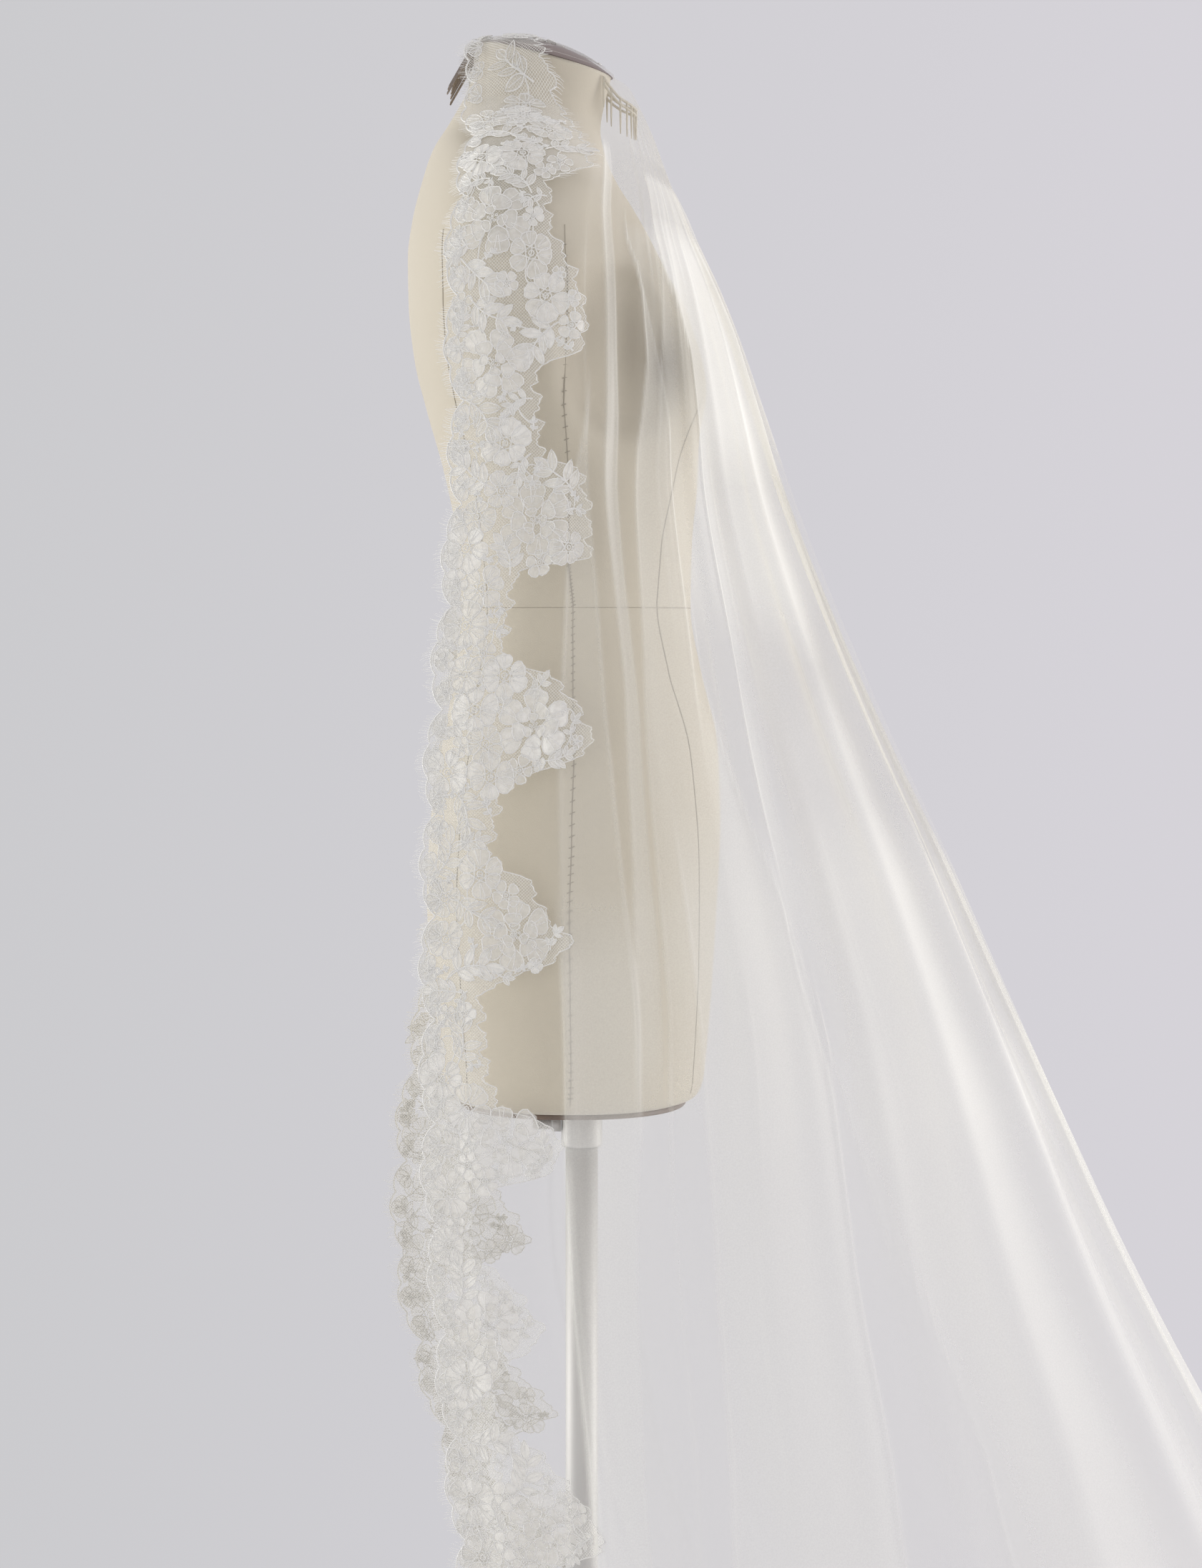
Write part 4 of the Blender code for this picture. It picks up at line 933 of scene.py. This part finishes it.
pieces, laceLengths = {}, {}
for side, name in ((near, "near"), (far, "far")):
    field, v = sideField(side)
    crownRun, end = float(np.interp(crownEnd, v, field.run)), float(field.run[-1])
    if side == near:
        inner, floorRun = nearEdge(field, v)
        windows = [(float(runAt(field, v, z)), *rest) for z, *rest in lace["windows"]]
        centres = [*runAt(field, v, lace["nearRoses"]),
                   *np.arange(floorRun + 0.11, end - 0.04, lace["repeat"])]
    else:
        inner, windows = partial(repeatedEdge, start=lace["farStart"]), []
        centres = np.arange(lace["farStart"] + 0.105, end - 0.04, lace["repeat"])
    bare = bareNet(windows)
    roses = [(max(lace["roseLeast"], float(inner(p)) - lace["roseInset"]), float(p), lace["rose"])
             for p in centres]
    onCrown, below = [r for r in roses if r[1] < crownRun], [r for r in roses if r[1] >= crownRun]
    laceLengths["crown_" + name], laceLengths[name] = crownRun, end - crownRun
    pieces["crown_" + name] = dress("veil_lace_crown_" + name, field, 0.0, crownRun, inner, onCrown, bare,
                                    lace["crownSizes"], (0.0, crownRun), 0.50)
    pieces[name] = dress("veil_lace_" + name, field, crownRun, end - 0.001, inner, below, bare,
                         lace["sizes"], (crownRun, crownRun + 0.10), 1.0 if side == near else 0.6)
field = hemField()
span = float(field.run[-1])
laceLengths["hem"] = span
hemRoses = [(0.060, float(p), lace["rose"]) for p in np.arange(0.125, span - 0.04, lace["repeat"])]
pieces["hem"] = dress("veil_lace_hem", field, 0.002, span - 0.002,
                      partial(repeatedEdge, start=lace["hemStart"]), hemRoses, None, lace["hemSizes"],
                      None, netColumns=10)


# Dress form

def formRing(t, angle):
    # point on the form at row t and angle, with the bust's two soft mounds
    rings = np.array(form["rings"])
    backX, backZ, frontX, frontZ, half = (steady(rings[:, k], t) for k in range(5))
    power = 2 / form["squareness"]
    along = np.sign(np.cos(angle)) * abs(np.cos(angle)) ** power
    y = half * np.sign(np.sin(angle)) * abs(np.sin(angle)) ** power
    share = (along + 1) / 2
    x, z = backX + (frontX - backX) * share, backZ + (frontZ - backZ) * share
    b = form["bust"]
    mound = np.exp(-(((abs(y) - b["spacing"]) / b["spreadY"]) ** 2) - ((z - b["height"]) / b["spreadZ"]) ** 2)
    p = form["plate"]
    away = np.hypot((x - p["x"]) / p["long"], (z - p["z"]) / p["high"])
    y = y - np.sign(y) * p["deep"] / (1 + np.exp((away - 0.92) / 0.07))
    x = x + np.where(along > 0, b["rise"] * mound * np.minimum(1.0, 2 * along), 0.0)
    return np.stack([x, y, z], -1)


t = np.concatenate([np.linspace(0, 19, 120)[:-1], np.linspace(19, 22, 22)])
angle = np.linspace(0, math.tau, 128, endpoint=False)
body = formRing(t[:, None], angle[None, :])
shrink = np.array([0.8, 0.5, 0.2, 0.0])[:, None, None]
topMiddle, lowMiddle = body[0].mean(0), body[-1].mean(0)
allRings = np.concatenate([topMiddle + (body[0] - topMiddle) * shrink[::-1], body,
                           lowMiddle + (body[-1] - lowMiddle) * shrink])
# painted shadow in the arm hollow, stored as the shade attribute
shade = sum(share * np.exp(-(((allRings[..., 0] - x) / wide) ** 2) - ((allRings[..., 2] - z) / high) ** 2)
            for x, z, wide, high, share in form["paintedShadows"])
formObject = addMesh("form_body", allRings.reshape(-1, 3), gridFaces(allRings.shape[0], 128, True), "form",
                     attributes={"shade": shade})


def formPlace(x, z):
    # row and angle on the near side for a point seen at x and height z
    rows = np.linspace(0, 22, 600)
    rings = np.array(form["rings"])
    backX, backZ, frontX, frontZ, half = (steady(rings[:, k], rows) for k in range(5))
    share = np.clip((x - backX) / (frontX - backX), 0.01, 0.99)
    best = np.argmin(abs(backZ + (frontZ - backZ) * share - z))
    along = share[best] * 2 - 1
    c = math.copysign(abs(along) ** (form["squareness"] / 2), along)
    return rows[best], math.acos(max(-1.0, min(1.0, c)))


def formLine(marks, side, steps):
    places = np.array([formPlace(x, z) for x, z in marks])
    k = np.linspace(0, len(places) - 1, steps)
    rows = np.interp(k, range(len(places)), places[:, 0])
    angles = np.interp(k, range(len(places)), places[:, 1])
    return formRing(rows, angles * side), rows, angles * side


def tube(path, radius, sides=5):
    path = np.asarray(path, float)
    ahead = np.gradient(path, axis=0)
    ahead /= np.linalg.norm(ahead, axis=1, keepdims=True)
    up = np.array([0.0, 0.0, 1.0]) if abs(ahead[:, 2]).mean() < 0.7 else np.array([0.0, 1.0, 0.0])
    one = np.cross(ahead, up)
    one /= np.linalg.norm(one, axis=1, keepdims=True)
    two = np.cross(ahead, one)
    a = np.linspace(0, math.tau, sides, endpoint=False)
    radius = np.broadcast_to(np.asarray(radius, float), len(path))
    around = one[:, None] * np.cos(a)[:, None] + two[:, None] * np.sin(a)[:, None]
    return path[:, None] + radius[:, None, None] * around


def tubeFaces(rows, sides=5):
    return gridFaces(rows, sides, True)


seams = {
    # x and z of points down each seam on both sides of the form
    "princess": ((0.080, 1.205), (0.072, 1.150), (0.062, 1.095), (0.058, 1.045), (0.068, 0.990),
                 (0.084, 0.930), (0.090, 0.860), (0.090, 0.760), (0.084, 0.670)),
    "side": ((-0.012, 1.330), (-0.013, 1.200), (-0.010, 1.080), (-0.006, 1.045), (-0.006, 0.970),
             (-0.007, 0.860), (-0.008, 0.760), (-0.008, 0.668)),
    "back": ((-0.104, 1.330), (-0.096, 1.200), (-0.076, 1.090), (-0.072, 1.045), (-0.080, 0.980),
             (-0.092, 0.880), (-0.092, 0.760), (-0.086, 0.670)),
}
seamPile = Pile()
for side in (near, far):
    for name, marks in seams.items():
        line, rows, angles = formLine(marks, side, 90)
        seamPile.add(tube(line, 0.00045, 4), tubeFaces(len(line), 4))
        if name == "side":                 # hand stitches cross the side seam
            for k in range(2, 88):
                a0 = formRing(rows[k], angles[k] + 0.012)
                a1 = formRing(rows[k] + 0.03, angles[k] - 0.012)
                out = (a0 + a1) / 2 - np.array([-0.01, 0.0, a0[2]])
                out[2] = 0
                out /= np.linalg.norm(out)
                stitch = np.stack([a0, (a0 + a1) / 2 + out * 0.0006, a1])
                seamPile.add(tube(stitch, 0.00032, 4), tubeFaces(3, 4))
angles = np.linspace(0, math.tau, 161)
waist = formRing(np.full(len(angles), 13.0), angles)
seamPile.add(tube(waist, 0.0004, 4), tubeFaces(len(waist), 4))
seamObject = seamPile.build("form_seams", "form")
shade = seamObject.data.attributes.new("shade", "FLOAT", "POINT")
shade.data.foreach_set("value", np.full(seamPile.count, 0.65, np.float32))
print("form", (len(formObject.data.polygons) + len(seamObject.data.polygons)) * 2, "triangles")


# Cap, board, stand

def turnedMesh(name, profile, steps, move=(0, 0, 0), lying=False):
    # a steel piece turned from a profile of radius and height
    a = np.linspace(0, math.tau, steps, endpoint=False)
    radius, height = np.array(profile).T[..., None]
    rings = np.stack([radius * np.cos(a), radius * np.sin(a), height + 0 * a], -1)
    if lying:                              # along -X instead of up
        rings = np.stack([-rings[..., 2], rings[..., 1], rings[..., 0]], -1)
    points = (rings + np.array(move)).reshape(-1, 3)
    return addMesh(name, points, gridFaces(len(profile), steps, True), "steel")


def rounded(radius, low, high, edge):
    # profile of a turned piece with rounded rims
    a = np.linspace(0, math.pi / 2, 6)
    top = [(radius - edge + edge * math.cos(x), high - edge + edge * math.sin(x)) for x in a]
    base = [(radius - edge + edge * math.cos(x), low + edge - edge * math.sin(x)) for x in a[::-1]]
    return [(0.0, low), *base, *top, (0.0, high)]


share = np.concatenate([[0.0, 0.9, 1.0, 1.0], 1 - np.linspace(0, 1, 16) ** 1.4])
domed = cap["rim"] - cap["sink"] + cap["dome"] * (1 - share[4:] ** 2)
above = np.concatenate([[0.0003] * 3, [0.0006], domed])
a = np.linspace(0, math.tau, 72, endpoint=False)
along = cap["long"] * share[:, None] * np.cos(a)
y = cap["wide"] * share[:, None] * np.sin(a)
x = cap["x"] + along * math.cos(cap["tilt"]) + above[:, None] * math.sin(cap["tilt"])
z = cap["z"] - along * math.sin(cap["tilt"]) + above[:, None] * math.cos(cap["tilt"])
capPoints = np.stack([x, y, z], -1).reshape(-1, 3)
capObject = addMesh("neck_cap_wood", capPoints, gridFaces(len(share), 72, True), "cap")

stand = {
    "bottom": 0.6597, "board": 0.0040, "pole": 0.0127, "collar": 0.0161, "collarLong": 0.0355,
    "plate": 0.190, "plateThick": 0.010, "foot": 0.0103, "hub": 0.022, "hubTop": 0.0703, "slip": 0.0003,
}
boardTop, boardLow = stand["bottom"], stand["bottom"] - stand["board"]
edgeRing = formRing(np.full(96, 22.0), np.linspace(0, math.tau, 96, endpoint=False)) * np.array([1, 0.97, 1])
centre = edgeRing.mean(0)
boardRings = []
for size, height in ((0.0, boardTop), (0.9, boardTop), (0.994, boardTop), (1.0, boardTop - 0.0006),
                     (1.0, boardLow + 0.0006), (0.994, boardLow), (0.9, boardLow), (0.0, boardLow)):
    ring = centre + (edgeRing - centre) * size
    ring[:, 2] = height
    boardRings.append(ring)
boardObject = addMesh("form_board_wood", np.concatenate(boardRings), gridFaces(8, 96, True), "board")

under = boardLow - stand["slip"]
foot, inner = stand["foot"], stand["pole"] + stand["slip"]
poleProfile = [(0.0, foot), (stand["pole"], foot), (stand["pole"], under), (0.0, under)]
poleObject = turnedMesh("pole_steel", poleProfile, 48)
low, edge = under - stand["collarLong"], 0.0015
rim = [(stand["collar"] - edge + edge * math.sin(x), low + edge - edge * math.cos(x))
       for x in np.linspace(0, math.pi / 2, 5)]
collarProfile = [(inner, low), *rim, (stand["collar"], under - 0.0005), (stand["collar"] - 0.0004, under),
                 (inner, under), (inner, low)]
collarObject = turnedMesh("pole_collar_steel", collarProfile, 48)
screw = {
    "boss": 0.0062, "bossLong": 0.0075, "knob": 0.0045, "long": 0.0225, "z": under - stand["collarLong"] / 2,
}
reach, boss, knob = stand["collar"] + stand["slip"], screw["boss"], screw["knob"]
neckEnd, knobEnd = reach + screw["bossLong"], stand["collar"] + screw["long"]
screwProfile = [(0.0, reach), (boss, reach), (boss, reach + 0.006), (boss - 0.001, neckEnd),
                (knob - 0.0004, neckEnd)]
for k in range(9):                         # thread-like rings along the knob
    at = neckEnd + 0.0006 + k * 0.0015
    screwProfile += [(knob, at), (knob, at + 0.0007), (knob - 0.0006, at + 0.0010),
                     (knob - 0.0006, at + 0.0013)]
screwProfile += [(knob - 0.0008, knobEnd), (0.0, knobEnd)]
screwObject = turnedMesh("clamp_screw_steel", screwProfile, 28, (0, 0, screw["z"]), True)
baseObject = turnedMesh("base_plate_steel", rounded(stand["plate"], 0.0, stand["plateThick"], 0.002), 96)
hub, top = stand["hub"], stand["hubTop"]
hubProfile = [(inner, foot), (hub, foot), (hub, 0.066), (0.0212, 0.0690), (0.0195, top), (inner, top),
              (inner, foot)]
hubObject = turnedMesh("base_hub_steel", hubProfile, 48)
hard = (capObject, boardObject, poleObject, collarObject, screwObject, baseObject, hubObject)
print("cap, board and stand", sum(len(o.data.polygons) for o in hard) * 2, "triangles")


# Combs

def onPath(path, at):
    # points of a path at fractional places along it
    return np.stack([np.interp(at, range(len(path)), path[:, i]) for i in range(3)], -1)


wirePile, clearPile = Pile(), Pile()
path, inward = [], []
for side, places in ((near, (2, 1.5, 1, 0.5, 0.02)), (far, (0.5, 1, 1.5, 2))):
    for v in places:
        a = placesAcross(side, np.array([float(v)]), np.array([[0.005]]))[0, 0]
        path.append(veilSurface(side, v, a))
        inward.append(-normalsOf(veilSurface, side, v, a))
path, inward = np.array(path), np.array(inward)
k = np.linspace(0, len(path) - 1, 60)
into = onPath(inward, k)
spine = onPath(path, k) + into * 0.0018
tooth = np.array([-0.50, 0.0, -0.87])
tooth /= np.linalg.norm(tooth)
wind = np.linspace(0, 26 * math.tau, 420)
along = np.linspace(0, 59, 420)
coil = onPath(spine, along) + tooth * (0.0032 + 0.0030 * np.sin(wind))[:, None]
coil = coil + onPath(into, along) * (0.0010 * np.cos(wind))[:, None]
wirePile.add(tube(coil, 0.00045, 5), tubeFaces(len(coil), 5))
for shift in (0.0005, 0.0058):
    wirePile.add(tube(spine + tooth * shift, 0.0006, 6), tubeFaces(len(spine), 6))
for n in range(11):                        # each tooth is one wire bent back on itself
    at = 2 + n * 5.5
    p0, p1 = onPath(spine, at - 1.1), onPath(spine, at + 1.1)
    t = np.linspace(0, 1, 10)
    bendA = np.linspace(0, math.pi, 9)
    gap = (p1 - p0) * 0.5
    middle = (p0 + p1) / 2 + tooth * 0.0355
    legOne = p0 + (middle - gap - p0) * t[:, None]
    tip = middle + tooth * (np.sin(bendA) * 0.0011)[:, None] - gap * np.cos(bendA)[:, None]
    legTwo = middle + gap + (p1 - middle - gap) * t[:, None]
    wire = np.concatenate([legOne, tip[1:-1], legTwo])
    wirePile.add(tube(wire, 0.00050, 6), tubeFaces(len(wire), 6))
wireObject = wirePile.build("comb_wire_bent", "wire")

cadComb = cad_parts["comb_clear"]
combPoints = np.array([cadComb.matrix_world @ vertex.co for vertex in cadComb.data.vertices])
topLine = combPoints[combPoints[:, 2] > combPoints[:, 2].max() - 0.030]
rowY = np.linspace(topLine[:, 1].min() + 0.001, topLine[:, 1].max() - 0.001, 44)
upper = []
for y in rowY:
    close = combPoints[abs(combPoints[:, 1] - y) < 0.004]
    high = close[close[:, 2] > close[:, 2].max() - 0.003]
    upper.append(high.mean(0))
upper = np.array(upper)
kernel = np.ones(5) / 5
for i in range(3):
    upper[2:-2, i] = np.convolve(upper[:, i], kernel, "valid")
clearPile.add(tube(upper + (0, 0, -0.0012), 0.0011, 8), tubeFaces(len(upper), 8))
clearPile.add(tube(upper + (0, 0, -0.0058), 0.0010, 8), tubeFaces(len(upper), 8))
for n in range(15):
    t = np.linspace(0, 1, 9)
    line = onPath(upper, 1 + n * 3.0) + np.array([0, 0, -1.0]) * (0.0245 * t)[:, None]
    clearPile.add(tube(line, 0.0009 * (1 - 0.55 * t**2), 6), tubeFaces(9, 6))
clearObject = clearPile.build("comb_clear_teeth", "plastic")
print("combs", (len(wireObject.data.polygons) + len(clearObject.data.polygons)) * 2, "triangles")


# What each piece stands for

standsFor = {
    "veil_tulle": [veil], "veil_lace_near": pieces["near"], "veil_lace_far": pieces["far"],
    "veil_lace_hem": pieces["hem"], "veil_lace_crown": pieces["crown_near"] + pieces["crown_far"],
    "dress_form": [formObject, seamObject], "neck_cap": [capObject], "form_board": [boardObject],
    "pole": [poleObject], "pole_collar": [collarObject], "clamp_screw": [screwObject],
    "base_plate": [baseObject], "base_hub": [hubObject], "comb_wire": [wireObject],
    "comb_clear": [clearObject],
}
for node, members in standsFor.items():
    for obj in members:
        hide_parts(node)
slots = {
    "tulle": [veil], "form_cloth": [formObject, seamObject], "cap_wood": [capObject],
    "board_wood": [boardObject], "steel": [poleObject, collarObject, screwObject, baseObject, hubObject],
    "comb_metal": [wireObject], "comb_plastic": [clearObject],
    "lace": [obj for group in pieces.values() for obj in group],
}
for slotName, members in slots.items():
    for obj in members:
        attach(obj, "root")


# Flat sizes of the cloth, as cut

restsOn = {
    "crown_near": "neck_cap", "crown_far": "neck_cap", "near": "dress_form", "far": "dress_form",
    "hem": "veil_tulle",
}
for name, rests in restsOn.items():
    size, area = (0.115, round(laceLengths[name], 3)), round(laceLengths[name] * 0.082, 4)


# Floor, light and camera

a = np.linspace(0, math.tau, 96, endpoint=False)
radii = np.array([0.0, 0.4, 0.8, 0.95, 1.05, 1.15, 1.25, 1.35, 1.45])
low = np.full((len(radii), 96), -0.0006)
disc = np.stack([radii[:, None] * np.cos(a) + 0.5, radii[:, None] * np.sin(a), low], -1)
fade = np.broadcast_to(np.clip(1 - (radii[:, None] - 0.9) / 0.5, 0, 1) ** 1.5, low.shape)
floor = addMesh("floor", disc.reshape(-1, 3), gridFaces(len(radii), 96, True), "floor",
                attributes={"fade": fade})


def softbox(name, place, aim, size, power, colour):
    light = bpy.data.lights.new(name, "AREA")
    light.shape, light.size, light.size_y = "RECTANGLE", size[0], size[1]
    light.energy, light.color = power, colour
    obj = bpy.data.objects.new(name, light)
    bpy.context.scene.collection.objects.link(obj)
    obj.location = place
    way = np.array(aim, float) - np.array(place, float)
    flat = math.hypot(way[0], way[1])
    obj.rotation_euler = (math.atan2(flat, -way[2]), 0.0, math.atan2(way[1], way[0]) - math.pi / 2)
    obj.visible_camera = False
    return obj


lights = {
    "left": ((-2.6, 0.5, 1.1), (0.0, 0.0, 0.8), (1.6, 2.4), 47.0, (1.0, 0.985, 0.96)),
    "right": ((2.9, 0.6, 0.9), (0.2, 0.0, 0.7), (1.8, 2.4), 53.0, (1.0, 0.99, 0.97)),
    "front": ((-1.0, -4.2, 0.9), (-0.1, 0.0, 0.7), (2.4, 1.6), 31.0, (1.0, 1.0, 1.0)),
    "top": ((0.2, 0.2, 3.6), (0.1, 0.0, 0.8), (2.0, 2.0), 9.0, (1.0, 1.0, 1.0)),
}
for name, facts in lights.items():
    softbox(name + "_light", *facts)

world = bpy.data.worlds.new("studio")
bpy.context.scene.world = world
world.use_nodes = True
sky = world.node_tree
back = sky.nodes["Background"]
place = sky.nodes.new("ShaderNodeTexCoord")
split = sky.nodes.new("ShaderNodeSeparateXYZ")
sky.links.new(place.outputs["Generated"], split.inputs[0])
ramp = sky.nodes.new("ShaderNodeMapRange")
ramp.inputs["From Min"].default_value, ramp.inputs["From Max"].default_value = -0.14, 0.12
sky.links.new(split.outputs[0], ramp.inputs["Value"])
tint = sky.nodes.new("ShaderNodeMix")
tint.data_type = "RGBA"
sky.links.new(ramp.outputs[0], tint.inputs[0])
tint.inputs[6].default_value = (0.598, 0.596, 0.615, 1.0)
tint.inputs[7].default_value = (0.668, 0.650, 0.690, 1.0)
sky.links.new(tint.outputs[2], back.inputs["Color"])
back.inputs["Strength"].default_value = 1.0

# span is the height in metres that the picture takes in at the form
view = {"place": (0.0152, -3.6, 1.0223), "sensor": 36.0, "span": 1.2357, "shift": -0.0947}
camera = bpy.data.cameras.new("camera")
cameraObject = bpy.data.objects.new("camera", camera)
bpy.context.scene.collection.objects.link(cameraObject)
cameraObject.location = view["place"]
cameraObject.rotation_euler = (math.pi / 2, 0.0, 0.0)
camera.sensor_fit, camera.sensor_height, camera.sensor_width = "VERTICAL", view["sensor"], view["sensor"]
camera.lens = view["sensor"] * -view["place"][1] / view["span"]
camera.shift_y = view["shift"]
bpy.context.scene.camera = cameraObject
bpy.context.scene.view_settings.view_transform = "Standard"
bpy.context.scene.cycles.transparent_max_bounces = 64      # one line of sight can cross many thin layers
print("room", len(lights), "lights")
